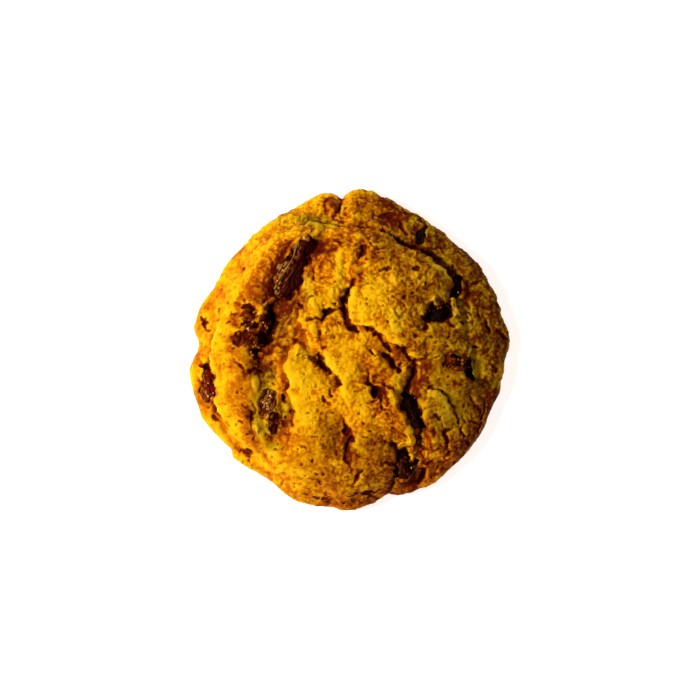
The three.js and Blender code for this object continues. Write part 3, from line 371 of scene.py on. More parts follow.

# Stains of the crust, among them painted light and shade: middle, half length, half width, heading, browning,
# and dampness where there is some. Browning and dampness go up to 1. Below 0 the crust is paler than round it.
STAINS = (
    (-14.8, 15.6, 5.6, 1.5, 66, 1.05), (-17.6, 12.6, 4.8, 2.8, 60, 0.6), (-29.6, 2, 9, 2.4, 90, 0.28),
    (-26.6, -15, 6.5, 2, 122, 0.05), (-21.6, -13, 6, 1.6, 115, 0.35), (-24, 16, 8, 1.6, 50, 0.05),
    (-21.6, 2.2, 2.6, 1.4, 10, 1.05), (-17.8, -1.2, 1.9, 1.2, 20, 0.95), (-6.3, 20.4, 1.3, 1, 80, 1.3),
    (-15.4, 6.6, 3, 0.7, 88, 1.2), (-12.9, 6.6, 4.6, 1.7, 78, 0.55, 0.5), (-22.4, 7.6, 1.4, 1, 90, 0.4),
    (-20.4, 6.2, 2.6, 1.3, 70, 1.1), (-17.4, 6, 3, 1.2, 85, 0.45, 0.2), (-10.5, 25.4, 6, 2.6, 150, 0.25, 0.3),
    (12.2, 11.2, 3.6, 3.2, 0, 0.35), (16, 17.2, 5.2, 0.8, 138, -0.1, 0.7), (20.8, -2.2, 2.2, 1.8, 0, 0.5, 0.3),
    (-7.4, 25.6, 4.2, 1.4, 170, 0, 0.8), (-8, 27, 0.6, 0.6, 0, 0.5), (-6.2, 20.2, 1.4, 1.2, 0, 0.6),
    (-2.4, 21, 2.2, 1.2, 0, 0.4), (-8.6, 12.6, 2.8, 1.2, 90, 0, 0.5), (-13, 9.4, 2.2, 1.6, 20, 0.35, 0.4),
    (4.6, 27, 5.6, 3.6, 165, 0.25), (1.5, -15, 6, 4, 90, 0.28), (7.6, 26.3, 2.4, 1.1, 165, 0.55),
    (2.6, 19.4, 1.5, 0.8, 80, 0.6), (6.5, 21.4, 2.8, 1.8, 0, 0, 0.5), (7, 30.2, 3.6, 1, 160, 0.1, 0.6),
    (26, 12, 9.5, 4.5, 110, 0.2, 0.25), (17.2, 11.2, 1.4, 1.2, 0, 0, 0.35), (22.5, 16.5, 3, 1.2, 120, 0.3),
    (13.5, 16, 5, 2, 150, 0.05, 0.3), (13.6, 6, 3.4, 2.2, 0, 0, 0.35), (18.5, -10.5, 6.5, 4.5, 110, 0, 0.55),
    (28, -9, 9.5, 3.8, 102, 0, 0.3), (8.6, -3, 2.6, 1, 135, 0.45), (4, -4.4, 2.4, 1.8, 90, 0.7),
    (1, -23, 10, 6.5, 0, 0.26, 0.25), (11.5, -27, 4.5, 1.6, 20, 0.45), (1, -30.2, 6, 1.2, 5, 0.15),
    (22.5, -19.5, 4.5, 2.2, 55, 0.3), (8.2, -22.6, 1.6, 0.9, 0, 0.5), (-23, -9.5, 4, 1.6, 95, 0.4),
    (-19.4, -13.2, 2.4, 1.2, 95, 0.55), (-26.8, -12.8, 2, 1.2, 110, 0.5),
    (-3.9, -17.2, 3.6, 2.4, 80, 0.38, 0.35), (-15.6, -19.4, 2.2, 1, 0, 0, 0.6), (-6, -29.6, 4, 1.6, 165, 0.25),
    (-28.6, -7.4, 3.2, 1.5, 95, 0.6), (-17.2, -6, 3, 2.2, 90, 0.1, 0.8),
    (-13.2, -11.6, 2.2, 1.4, 85, 0.25, 0.7), (-16.4, -12.2, 5.4, 3, 88, 0.3, 0.8),
    (-12.8, -5.6, 2.6, 0.8, 85, 0.4), (-12.3, -13.9, 1.6, 1.3, 0, 0.75, 0.2), (-20, -22, 2, 1, 150, 0.3),
    (-20, -17.2, 2.4, 1.6, 135, 0.7), (-12, -18.5, 3.4, 2, 90, 0.3), (-14.2, 2.6, 5, 2.4, 108, 0.95, 0.35),
    (-12.2, 7.6, 4.8, 2.4, 60, 0.9, 0.3), (-8.6, 5, 4, 2.6, 0, 0.3), (-16.4, -3.8, 3.2, 1.4, 85, 0.75, 0.3),
    (-5.4, 18.2, 3, 1.7, 50, 0.85), (-1.8, 22, 3.2, 1.4, 20, 0.6), (-21.8, -6.8, 7, 1.7, 94, 0.55),
    (-23.2, 0.1, 1.9, 1.1, 0, 0.55), (13, 19.6, 4.5, 1.2, 150, 0.3), (5, 18.9, 2.6, 2, 0, 0.5),
    (1, 16, 1.6, 1.2, 80, 0.65), (28.3, -10.5, 4, 1.6, 100, 0.6), (18, -24, 3.5, 1.5, 35, 0.55),
    (-22.3, 5.3, 2, 1.4, 0, 0.8), (-4.2, -12, 5, 1.8, 85, 0.2), (0.3, -17.4, 3.6, 1.5, 90, 0.9),
    (-3.8, -24.6, 2.4, 1.8, 90, 0.45), (-4.4, 29.2, 1.6, 1.4, 0, 0.6), (0, 23.8, 3, 2, 0, 0.3),
    (6.6, 24.6, 4.6, 1.8, 0, 0.4), (-26.8, 10.8, 2.8, 1.4, 60, 0.45), (12, 1.7, 4, 1.6, 140, 0.5),
    (9.8, 0, 2.4, 1.7, 20, 1), (14.9, -4.2, 3.2, 1.4, 80, 0.85), (13.5, -8.3, 2.2, 1.3, 90, 0.85),
    (8.3, -13.4, 3.6, 1.6, 110, 0.5), (6.6, -6, 3.6, 2, 100, 0.55), (3.4, -3, 4, 1.6, 140, 0.4),
    (-5.3, 1.3, 2.2, 1.4, 90, 0.8), (-7.4, 13, 2.2, 1.8, 0, 0.35), (-12.9, 20, 2.4, 1.6, 60, 0.65),
    (-8.8, 26.4, 3, 1.6, 160, 0.5), (5.4, 29.5, 3.4, 1.2, 160, 0.65), (5.8, 27.4, 2.2, 1.2, 150, 0.4),
    (15, 19.3, 2.6, 1.6, 140, 0.8), (1.4, 14.2, 2.2, 1.2, 80, 0.55), (5.6, 6.4, 1.8, 1.6, 0, 0.3),
    (29.2, -0.6, 2.4, 1.6, 0, 0.3), (15.7, -16.8, 3.4, 1.1, 92, 0.6), (7.6, -17.8, 2.4, 1.3, 0, 0.35),
    (-4.3, -30.9, 2.4, 1, 170, 0.6), (-28.6, -10.6, 2.4, 1.4, 110, 0.45), (-27.4, -3, 3.6, 1.2, 95, 0.25),
    (-25.4, 1, 2.6, 1.6, 90, 0.25), (-11.5, 1.2, 1.8, 1.5, 0, 0.8), (-16.8, 0, 1.8, 1.2, 90, 0.9),
    (12.7, -18.2, 3, 1.4, 95, -0.9), (-10.6, -24.2, 5, 1.6, -8, -0.4), (20.8, -12, 5, 3, 100, -0.6, 0.3),
    (22.9, 6.4, 3.2, 1.8, 95, -1.1), (24, -2.4, 4.4, 2.2, 150, -1), (16.8, -1.6, 2.2, 1.4, 160, -0.35),
    (14.3, 24.8, 2.4, 1.3, 145, -0.8), (21, 18.3, 2.5, 1.4, 140, -0.5), (17.6, 10.3, 3, 1.4, 10, -0.5),
    (9.6, 13.2, 3, 1.2, 160, -0.45), (-1.9, 11.3, 2.6, 1.6, 75, -1.2), (-6.4, 8.6, 1.8, 1.2, 0, -0.3),
    (4.6, 12.2, 2.6, 1.4, 20, -0.8), (-17.6, 7.8, 3.2, 1.1, 75, -0.8), (-17.2, -15.8, 2.8, 1.5, 90, -0.7),
    (-3.7, -5.7, 1.6, 1, 60, -1), (11.6, -1.9, 3.4, 1.2, 0, 0.3), (11.5, -5.4, 1.7, 1.3, 0, -0.8),
    (29.4, -6.2, 2.4, 1.6, 60, -0.4), (-16.4, 7, 3.2, 1, 65, -0.3), (-9, -2.8, 3.4, 2.2, 60, -0.6),
    (-17, -11.4, 3.4, 1.5, 90, -0.6), (2.4, -10.2, 2.8, 1.3, 75, -0.35), (10, -7.2, 3.2, 1.4, 65, -0.9),
    (-8, -27.6, 2.8, 1.8, 0, -0.3), (-24, 9.6, 6, 1.5, 35, -0.1), (-21.5, -18.8, 6, 1.4, -45, -0.1),
    (5, -20, 3, 1.2, 170, -0.25), (-15, 19.4, 2.6, 1.4, 55, 0.6), (-3.9, 15.8, 2.6, 1.2, 100, 0.45),
    (-3.4, 20.2, 1.6, 1.2, 0, 0.75), (6.7, -9, 2.2, 1.2, 100, 1), (3.2, -24.2, 2.4, 1.6, 0, 0.5),
    (-5.6, -21.8, 1.6, 1.4, 0, 0.2), (9.1, 6.2, 2.2, 1.4, 95, -1.4), (22.6, -1.2, 2, 1.2, 120, -0.6),
    (22, -14.5, 3, 1.5, 95, -0.4), (-1, 15, 1.6, 1.2, 0, -0.5), (-20, -1, 1.6, 1, 80, -0.3),
    (-9, -10, 6, 1.8, 100, -0.2), (-7.5, 1.8, 1.6, 1.2, 0, -0.25), (3.2, 27, 1.6, 1.3, 0, -0.4),
    (28, 11, 2.4, 1.4, 110, -0.35), (-10, 4, 2.4, 1.5, 30, 0.6), (-4.2, 5.1, 2.2, 1.3, 0, 0.45),
    (-0.4, 4.6, 1.8, 1.2, 90, 0.6), (-4.6, 19.6, 2.8, 1.1, 10, 1.1), (-1.4, 26.5, 2.8, 1.1, 5, 0.45),
    (-4.6, -8.6, 2.4, 1.1, 0, 0.45), (-10.6, -12.6, 2.4, 1.3, 90, 0.45), (-18.4, 15.4, 2.6, 1.3, 60, 0.6),
    (-8, 16, 1.8, 1.4, 90, 0.5), (-22.6, 18, 3.4, 1.6, 50, 0.35), (25, 9, 1.6, 1.3, 90, 0.35),
    (-13.6, -7.2, 2.6, 1, 140, 0.35), (12, 5, 1.6, 1.4, 0, 0.2), (4.6, 22.4, 1.8, 1.2, 0, 0.4),
    (6, 16.6, 2.2, 1.2, 0, 0.3), (3.8, 2.2, 3, 1.1, 170, 0.2), (6.4, 4.2, 1.6, 1.2, 60, 0.5),
    (-0.5, 2.8, 1.8, 1.1, 0, 0.4), (10, 9, 4, 1.4, 0, 0.2), (-8, 5.3, 1.6, 1.2, 0, 0.45),
    (-4.6, -15.5, 3, 1.3, 80, 0.5), (0.4, -19.8, 2.2, 1.3, 90, 0.95), (4.6, -11.6, 2, 1.3, 0, 0.35),
    (21.6, -7, 1.6, 1.2, 0, 0.45), (19.6, -20, 3, 1.3, 110, 0.35), (15, -23, 1.8, 1.3, 0, 0.5),
    (-13, -28, 5, 1, -25, 0.1), (-30.2, -8.5, 3, 1.2, 100, 0.45), (-23.2, 3.2, 1.6, 1, 0, -0.3),
    (-14.8, -5.6, 2.4, 1.2, 130, -0.2), (-3, -28.4, 2.4, 1.2, 0, -0.3), (17.6, -16.6, 2, 1.2, 90, -0.5),
    (23.2, -0.4, 2.6, 1.6, 90, -0.7), (22.4, -4.6, 3.2, 2, 90, -0.4), (16.4, -8.6, 2, 1.2, 150, -0.35),
    (-26.5, -6.4, 4.6, 1.1, 97, 0.5), (-8, 24, 1.8, 1.2, 0, 0.5), (-14, 24.4, 4, 1.6, 40, 0.22),
    (-6.2, 18.5, 2, 1.1, 30, 1), (-18.8, 8.5, 1.2, 0.9, 0, 0.5), (19.8, -17.2, 1.4, 1.1, 0, 0.3),
    (10.2, -18.2, 1.6, 1.1, 0, 0.35), (24.2, 3.4, 1.4, 1.1, 0, 0.35), (24.6, 8.8, 1.4, 1.1, 0, 0.35),
    (17, 21.4, 2.4, 0.9, 165, 0.4), (-14.2, -0.6, 1.4, 1.1, 0, -0.4), (-2, 17.4, 1.4, 1.2, 0, -0.35),
    (-7.2, -14, 2.6, 1.3, 60, -0.35), (-9.2, -8, 2, 1.3, 90, -0.3), (-1.6, -22.2, 2, 1.2, 0, -0.35),
    (16.4, -21.8, 1.6, 1.2, 0, -0.4), (14, 13.6, 2, 1.2, 0, -0.3), (-24.2, -4.2, 3, 1.4, 80, -0.1),
    (19, 16.4, 2.2, 1.5, 130, -0.5), (26.6, 5.8, 2.2, 1.3, 80, -0.5), (10.6, -21.2, 1.8, 1.2, 0, -0.5),
    (-12.4, 25, 1.8, 1.2, 20, -0.35), (-18, -22, 2.4, 1.2, -45, -0.35), (-19.4, 1.5, 1.8, 1.1, 90, -0.9),
    (15.2, 7.6, 1.8, 1.2, 30, -0.5), (13, -22.8, 1.6, 1.3, 0, -0.3), (5.6, -26.6, 2.6, 1.2, 0, -0.25),
    (0.6, -25.2, 2, 1.2, 0, -0.5), (2, -29, 2.4, 1, 0, -0.2), (-6.3, 22.2, 2.4, 1.2, 35, -0.7),
)

# Patches where the dough leaves the raisins bare: middle, half length, half width, heading.
BARE_PATCHES = (
    (-11.5, 16, 6.5, 2.5, 64), (-9.2, 20.2, 2.6, 1.5, 60), (-13.4, 11.8, 2.4, 1.6, 70),
    (-20.6, 5.4, 1, 0.6, 60), (-19.1, 4.8, 0.9, 0.7, 0), (-15.4, 7.8, 1.4, 0.5, 90), (-17.3, 2, 1.6, 1, 100),
    (-18.6, -0.2, 1, 0.5, 0), (-16.3, -10.2, 2.5, 1.9, 60), (-15, -14.4, 2.4, 1.1, 95),
    (-13.1, -9.6, 0.9, 0.22, 115), (-28.2, -6.6, 3.5, 1.2, 95), (20.6, -1.2, 0.7, 0.6, 0),
    (20.2, -3, 0.9, 0.6, 0), (21.6, -2.8, 0.8, 0.5, 0), (21, -2.1, 1, 0.6, 30), (21.4, 12.6, 2.3, 1.2, 100),
    (17.5, 7.3, 3, 1.8, 20), (11.9, -11.4, 4, 1.8, 113), (10.6, -22.6, 3.2, 1.6, 96), (14, 22.4, 1.4, 0.85, 80),
)

# Beds of torn crumbs in the pockets: middle, half length, half width, heading, number of crumbs, their
# least and largest radius, least and most browning, and how far their tone is lifted, as a painted highlight.
CRUMB_BEDS = (
    (-19.6, 5, 3.8, 2.4, 60, 30, 0.3, 0.75, 0.5, 1.4, 0),
    (-18.4, -1.4, 3.2, 1.8, 95, 18, 0.3, 0.65, 0.4, 1.3, 0), (-16.6, 7, 2.8, 0.9, 85, 9, 0.3, 0.7, 0.5, 1.2, 0),
    (-16.6, -12.4, 3.4, 1.6, 88, 12, 0.3, 0.6, 0.5, 1.2, 0),
    (-13.4, -14.4, 1.6, 1.2, 60, 9, 0.25, 0.55, 0.7, 1.4, 0),
    (-28.6, -7.4, 2.6, 1.1, 95, 10, 0.2, 0.4, 0.6, 1.3, 0),
    (-8.8, 22.6, 1.2, 0.8, 0, 5, 0.25, 0.5, 0.3, 0.9, 0), (-14.4, 15.4, 4.6, 0.5, 66, 9, 0.3, 0.6, 0.9, 1.2, 0),
    (20.8, -2.2, 1.7, 1.4, 0, 12, 0.2, 0.45, 0.7, 1.4, 0), (11, -22.8, 2.6, 1, 96, 6, 0.2, 0.45, 0.9, 1.5, 0),
    (13.8, -16.6, 3.2, 1.2, 95, 12, 0.2, 0.45, 0.2, 0.9, 0), (17, 8.8, 2.6, 0.8, 20, 8, 0.2, 0.45, 0.5, 1.2, 0),
)

# Sugar grains on the fruit, set where it shows glints so they stand in for those highlights: place and size.
SUGAR_ON_FRUIT = (
    (-9, 22.1, 0.45), (-9.3, 22.2, 0.3), (-8, 23.6, 0.3), (-14.4, 13.7, 0.25), (-13.3, 15.8, 0.22),
    (-17.3, 5.4, 0.28), (-20.3, 4.3, 0.4), (-20.1, 3.9, 0.3), (-19.3, 5.7, 0.3), (-16.4, -10.6, 0.35),
    (-17.2, -10.4, 0.3), (-15.8, -9.1, 0.3), (-16.4, -11.7, 0.25), (-16.3, -8.1, 0.25), (-17, -10.9, 0.2),
    (-15.6, -9.4, 0.2), (-28.3, -6.6, 0.25), (-28.3, -9.2, 0.25), (-27.3, -8.6, 0.22), (13.5, 25.5, 0.22),
    (21.5, 11.5, 0.2), (10.3, -9.6, 0.22), (12.8, -9.6, 0.22),
)

# Raisins in their nodes: heading of the long axis, length, width and thickness as in the solids,
# dust on their folds, and how ruddy and thin their skin is. Raisins in the eastern holes get little dust,
# so they show nearly black, painted shade for their holes.
RAISINS = {
    "raisin_north_west": (66, 14.4, 6.4, 5.2, 1, 0.1),
    "raisin_west": (98, 9.4, 5.4, 4.6, 0.6, 0.3),
    "raisin_south_west": (82, 10.6, 6.2, 5.0, 0.9, 0.15),
    "raisin_west_rim": (97, 7.2, 3.6, 3.2, 0.8, 0.7),
    "raisin_east": (130, 4.6, 3.2, 3.0, 0.15, 0),
    "raisin_east_ledge": (110, 5.4, 3.0, 3.0, 0.15, 0),
    "raisin_east_hole": (25, 6.4, 4.2, 3.8, 0, 0),
    "raisin_gorge": (113, 8.6, 4.4, 4.0, 0.12, 0),
    "raisin_south_east": (96, 6.8, 4.0, 3.6, 0.35, 0),
    "raisin_north_east": (60, 5.0, 3.4, 3.2, 0, 0),
}


def linear(hex_colour):
    """An sRGB hex colour as linear red, green, blue and full alpha."""
    parts = [int(hex_colour[i:i + 2], 16) / 255 for i in (0, 2, 4)]
    return [c / 12.92 if c <= 0.04045 else ((c + 0.055) / 1.055) ** 2.4 for c in parts] + [1.0]


def colour(hex_colour, name, about):
    return FloatVectorProperty(name=name, description=about, subtype="COLOR", size=4, min=0, max=1,
                               default=linear(hex_colour))


def distance(metres, name, about):
    return FloatProperty(name=name, description=about, default=metres, unit="LENGTH")


def fraction(default, name, about, most=1):
    return FloatProperty(name=name, description=about, default=default, min=0, max=most)


class DoughSettings(bpy.types.PropertyGroup):
    """Sizes and colours of the baked dough."""

    crust_rings: IntProperty(name="Crust rings", description="Rings of triangles over the crust",
                             default=168, min=24, max=170)
    base_rings: IntProperty(name="Base rings", description="Rings of triangles on the tray side",
                            default=56, min=8, max=80)
    swell: distance(0.75 * MM, "Swells", "Height of the broad swells")
    clod: distance(0.3 * MM, "Clods", "Height of the clods in the crust")
    crumb: distance(0.12 * MM, "Crumb", "Height of the crumb's grains")
    crack_depth: fraction(1.0, "Crack depth", "Share of each crack's full depth", 1.5)
    crack_sag: fraction(0.55, "Crack sag", "How far the crust bends down into its cracks", 2)
    plate_rise: fraction(1.4, "Plate edges", "Share of each plate edge's full height", 2)
    # Toasted rim, strongest on the east side away from the key light, where it is partly painted shade.
    toast: fraction(0.25, "Toasted rim", "Browning of the crust's outer part")
    # Painted shade on the west ledge, which faces the key light, darkening its lit face.
    ledge_toast: fraction(0.15, "Toasted ledge", "Browning of the ledge on the light's side")
    # Browning at the foot of the rim, which also stands in for shade there against the light of the glowing
    # table.
    tray_toast: fraction(0.6, "Toasted foot", "Browning of the rim near the tray")
    # Painted shade: browning of the east side, which faces away from the key light.
    oven_side: fraction(0.36, "Oven side", "Browning of the side that lay nearer the oven's wall")
    # Cracks: maroon walls, going nearly black deeper in, which is painted shade.
    burnt: colour("200200", "Burnt", "Deep inside the cracks")
    maroon: colour("641400", "Maroon", "Crack walls and torn edges")
    umber: colour("561800", "Umber", "The darkest browning of the crust")
    brown: colour("984000", "Brown", "Well browned dough")
    orange: colour("CA7200", "Orange", "The crust in general")
    gold: colour("F2AC00", "Gold", "High, dry parts of the crust")
    # The palest crust shows where painted highlight lifts the tone on tips and edges, as well as on sugar.
    pale: colour("FFC210", "Pale", "Sugar-dusted tips")
    # The damp colours also serve as painted shade for the east side, away from the key light.
    soaked: colour("3A2000", "Soaked", "The darkest damp dough")
    damp: colour("785800", "Damp", "Well browned damp dough")
    olive: colour("A88C00", "Olive", "Damp dough beside the fruit")
    straw: colour("C8A428", "Straw", "Tips of damp dough")


class FruitSettings(bpy.types.PropertyGroup):
    """Looks of the raisins."""

    wrinkle: distance(0.45 * MM, "Wrinkles", "Depth of the furrows")
    # Raisin colours: skin in the creases, painted darker, and dust on the fold tops and the west flank, painted
    # lighter.
    skin: colour("120200", "Skin", "Dark skin between the folds")
    ruby: colour("861004", "Ruby", "Thin skin that lets light through")
    flesh: colour("602404", "Flesh", "Red-brown skin on the folds")
    fold: colour("986828", "Dust", "Dusty tops of the folds")


class ToppingSettings(bpy.types.PropertyGroup):
    """Small things on the crust."""

    crumbs: IntProperty(name="Crumbs", description="Loose crumbs baked onto the crust", default=260, min=0)
    crystals: IntProperty(name="Sugar", description="Sugar crystals on the crust", default=60, min=0)
    amber: colour("D09848", "Amber", "Sugar that browned")
    clear: colour("F0C080", "Clear", "Sugar that stayed clear")


class StageSettings(bpy.types.PropertyGroup):
    """Floor, lights and camera."""

    frame_width: distance(140 * MM, "Frame width", "Width of the view at the cookie's rim")
    camera_height: distance(0.9, "Camera height", "Height of the camera over the floor")
    key_power: FloatProperty(name="Key light", description="Power of the key light", default=3.5, unit="POWER")
    sky: FloatProperty(name="Sky", description="Strength of the soft light from all round", default=0.2)
    sky_colour: colour("FFE6C8", "Sky colour", "Colour of the soft light from all round")
    floor_glow: FloatProperty(name="Table glow", description="Light that the table gives off", default=0.8)


# ---------------------------------------------------------------- shape of the crust


def lobed(base, lobes, degrees):
    """A base value plus its lobes at each heading."""
    value = np.full_like(degrees, base, dtype=float)
    for at, grow, spread in lobes:
        away = (degrees - at + 180) % 360 - 180
        value += grow * np.exp(-0.5 * (away / spread) ** 2)
    return value


def ease(value, low, high):
    """0 below low, 1 above high and a smooth turn between them."""
    t = np.clip((value - low) / (high - low), 0, 1)
    return t * t * (3 - 2 * t)


def sampled(points, size, basis="PERLIN_ORIGINAL", shift=0.0):
    """Noise at each point for features of a size in mm."""
    scaled = points / size + shift + SEED
    return np.array([noise.noise(Vector(p), noise_basis=basis) for p in scaled.tolist()])


def section():
    """Radius and height of the plain dough from its middle over the rim to the tray."""
    over = np.linspace(0, math.pi / 2, 300)
    under = np.linspace(0, math.pi / 2, 40)[1:]
    radius = np.concatenate([COOKIE_RADIUS * np.sin(over) ** (2 / SKIRT_FULLNESS),
                             COOKIE_RADIUS - BASE_SET_BACK * (1 - np.cos(under))])
    height = np.concatenate([WIDEST_HEIGHT + SKIRT_RISE * np.cos(over), WIDEST_HEIGHT * (1 - np.sin(under))])
    return radius, height


def above_skirt(height):
    """0 at the widest part of the rim and below, 1 on top of the cookie."""
    return ease(height, WIDEST_HEIGHT * 0.6, WIDEST_HEIGHT * 1.8)


def crust_over(x, y, skirt, stray=0.0):
    """Height of the raised crust over the skirt, its painted edge highlight, its ledge, and the ledge's lean
    outwards.
    """
    dx = x - CAP_CENTRE[0]
    dy = y - CAP_CENTRE[1]
    degrees = np.degrees(np.arctan2(dy, dx))
    edge = lobed(CAP_RADIUS, CAP_LOBES, degrees)
    reach = np.hypot(dx, dy)
    inside = edge - reach + stray
    slope = lobed(LEDGE_SLOPE, LEDGE_SLOPE_LOBES, degrees)
    on_cap = ease(inside, -slope, slope)
    dome = CAP_EDGE_HEIGHT + (CAP_CROWN_HEIGHT - CAP_EDGE_HEIGHT) * (1 - (reach / edge) ** 2)
    turned_down = CAP_EDGE_DROP * np.exp(-np.maximum(inside, 0) / CAP_EDGE_REACH)
    height = (dome - turned_down - skirt) * on_cap
    lean = CAP_LIP * np.sin((on_cap - 0.5) * 2 * math.pi) / np.maximum(reach, 1)
    lean *= LEDGE_SLOPE / slope
    crest = lobed(0.0, CREST_LOBES, degrees) * np.exp(-((inside - CREST_SET_IN) / CREST_WIDTH) ** 2)
    return height, crest, 4 * on_cap * (1 - on_cap), dx * lean, dy * lean


def ellipse_reach(x, y, at_x, at_y, length, width, heading):
    """Distance from the middle of an ellipse, 1 at its edge."""
    turn = math.radians(heading)
    dx = x - at_x
    dy = y - at_y
    along = (dx * math.cos(turn) + dy * math.sin(turn)) / length
    across = (dy * math.cos(turn) - dx * math.sin(turn)) / width
    return np.hypot(along, across)


def nearest_on(x, y, path):
    """Distance from a path, its half width at the nearest point, the distance to its left and east of it."""
    nearest = np.full_like(x, np.inf)
    half, left_of, east_of = np.zeros((3, len(x)))
    for (ax, ay, a_half), (bx, by, b_half) in zip(path, path[1:]):
        dx = bx - ax
        dy = by - ay
        length = math.hypot(dx, dy)
        along = np.clip(((x - ax) * dx + (y - ay) * dy) / length ** 2, 0, 1)
        away = np.hypot(x - ax - along * dx, y - ay - along * dy)
        closer = away < nearest
        nearest[closer] = away[closer]
        half[closer] = (a_half + along * (b_half - a_half))[closer]
        left_of[closer] = ((dx * (y - ay) - dy * (x - ax)) / length)[closer]
        east_of[closer] = (x - ax - along * dx)[closer]
    return nearest, half, left_of, east_of


def plate_rise(x, y):
    """Height gained or lost at the edges of the crust's plates, which fade at their ends."""
    rise = np.zeros_like(x)
    for height, reach, *path in PLATE_EDGES:
        ends = [0.15] + [1.0] * (len(path) - 2) + [0.15]
        nearest, share, left_of, _ = nearest_on(x, y, [(*point, end) for point, end in zip(path, ends)])
        side = ease(left_of, -0.25, 0.25)
        rise += height * share * np.exp(-(nearest / reach) ** 2) * (side - 0.5)
    return rise


def valley_depth(x, y):
    """Depth of the smooth valleys in the crust."""
    depth = np.zeros_like(x)
    for deep, *path in VALLEYS:
        nearest, half, *_ = nearest_on(x, y, path)
        np.maximum(depth, deep * np.exp(-(nearest / half) ** 2), out=depth)
    return depth


def carved(x, y, ragged):
    """Depth cut by cracks and pits, sag west of the cracks, and share of dark broken dough, partly painted
    shade.
    """
    cut, sag, torn = np.zeros((3, len(x)))
    for depth, *path in CRACKS + TEARS:
        nearest, half, _, east_of = nearest_on(x, y, path)
        reach = (nearest + ragged * np.minimum(half / 0.4, 1.6)) / half
        # Hairlines don't reach their full depth, and wide stretches go deeper.
        share = np.minimum(half / 0.3, 1)
        deep = depth * share * (1 + np.clip(half - 0.4, 0, 0.5))
        np.maximum(cut, deep * (1 - ease(reach, 0.3, 1.35)), out=cut)
        west = ease(-east_of / np.maximum(nearest, 0.05), 0.0, 0.8)
        bend = min(depth, 1.2) * share * np.exp(-nearest / CRACK_SAG_REACH)
        np.maximum(sag, bend * west, out=sag)
        shown = min(0.55 + 0.4 * depth, 1.5) * share
        np.maximum(torn, shown * (1 - ease(reach, 0.7, 1.5)), out=torn)
    for at_x, at_y, half_x, half_y in PITS:
        reach = ellipse_reach(x, y, at_x, at_y, half_x * 1.25, half_y * 1.25, 0)
        pit = 1 - ease(reach + 2 * ragged, 0.0, 1.4)
        np.maximum(cut, PIT_DEPTH * pit, out=cut)
        np.maximum(torn, 0.8 * pit, out=torn)
    return cut, sag, torn


def fan_places(points):
    """Ring, from 0 at the middle to 1, and turn of each point of a six-sided fan."""
    turn = np.arctan2(-points[:, 0], points[:, 1]) % (2 * math.pi)
    sector = np.floor(turn / (math.pi / 3) + 1e-6)
    start = sector * math.pi / 3
    along_x = -points[:, 0] * np.sin(start) + points[:, 1] * np.cos(start)
    along_y = -points[:, 0] * np.cos(start) - points[:, 1] * np.sin(start)
    second = along_y / math.sin(math.pi / 3)
    ring = along_x - 0.5 * second + second
    share = np.where(ring > 1e-9, second / np.maximum(ring, 1e-9), 0)
    return ring, (sector + share) * math.pi / 3 + math.pi / 2


def evened_places(ring, turn):
    """Place along the section for each ring, so that rings lie evenly over slopes and ledges."""
    radius, height = section()
    steps = np.linspace(0, 1, len(radius))
    headings = np.linspace(0, 2 * math.pi, 361)
    rings = np.linspace(0, 1, 400)
    table = np.empty((len(headings), len(rings)))
    for row, heading in enumerate(headings):
        growth = lobed(COOKIE_RADIUS, OUTLINE_LOBES, np.array([math.degrees(heading)]))[0] / COOKIE_RADIUS
        r = radius * growth
        over = crust_over(r * math.cos(heading), r * math.sin(heading), height)[0]
        z = height + over * above_skirt(height)
        length = np.concatenate([[0], np.cumsum(np.hypot(np.diff(r), np.diff(z)))])
        table[row] = np.interp(rings, length / length[-1], steps)
    column = ring * (len(rings) - 1)
    row = (turn % (2 * math.pi)) / (2 * math.pi) * (len(headings) - 1)
    c0 = np.minimum(column.astype(int), len(rings) - 2)
    r0 = np.minimum(row.astype(int), len(headings) - 2)
    fc = column - c0
    fr = row - r0
    near = table[r0, c0] * (1 - fc) + table[r0, c0 + 1] * fc
    far = table[r0 + 1, c0] * (1 - fc) + table[r0 + 1, c0 + 1] * fc
    return near * (1 - fr) + far * fr


def finished(bm, name):
    """The named mesh made from a bmesh, which is freed."""
    mesh = bpy.data.meshes.new(name)
    bm.to_mesh(mesh)
    bm.free()
    return mesh


def dough_mesh(settings):
    """The closed skin of the dough: a fan over the crust, a coarser one on the tray side, bridged."""
    bm = bmesh.new()
    for rings, radius, height in ((settings.crust_rings, 1.0, 0.0),
                                  (settings.base_rings, TRAY_FAN_RADIUS, TRAY_FAN_HEIGHT)):
        made = bmesh.ops.create_circle(bm, cap_ends=True, cap_tris=True, segments=6, radius=radius,
                                       matrix=Matrix.Translation((0, 0, height)))
        edges = {edge for vert in made["verts"] for edge in vert.link_edges}
        bmesh.ops.subdivide_edges(bm, edges=list(edges), cuts=rings - 1, use_grid_fill=True)
    bmesh.ops.bridge_loops(bm, edges=[edge for edge in bm.edges if edge.is_boundary])
    bmesh.ops.recalc_face_normals(bm, faces=bm.faces[:])
    return finished(bm, "cookie_dough")


def vertex_rows(mesh, key):
    """The places or normals of the vertices as rows."""
    values = np.empty(len(mesh.vertices) * 3)
    mesh.vertices.foreach_get(key, values)
    return values.reshape(-1, 3)


def set_places(mesh, places):
    """Moves the vertices to places in mm."""
    mesh.vertices.foreach_set("co", (places * MM).ravel())
    mesh.update()


def set_attributes(mesh, **attributes):
    for name, values in attributes.items():
        layer = mesh.attributes.new(name, "FLOAT", "POINT")
        layer.data.foreach_set("value", np.ascontiguousarray(values, dtype=np.float32))


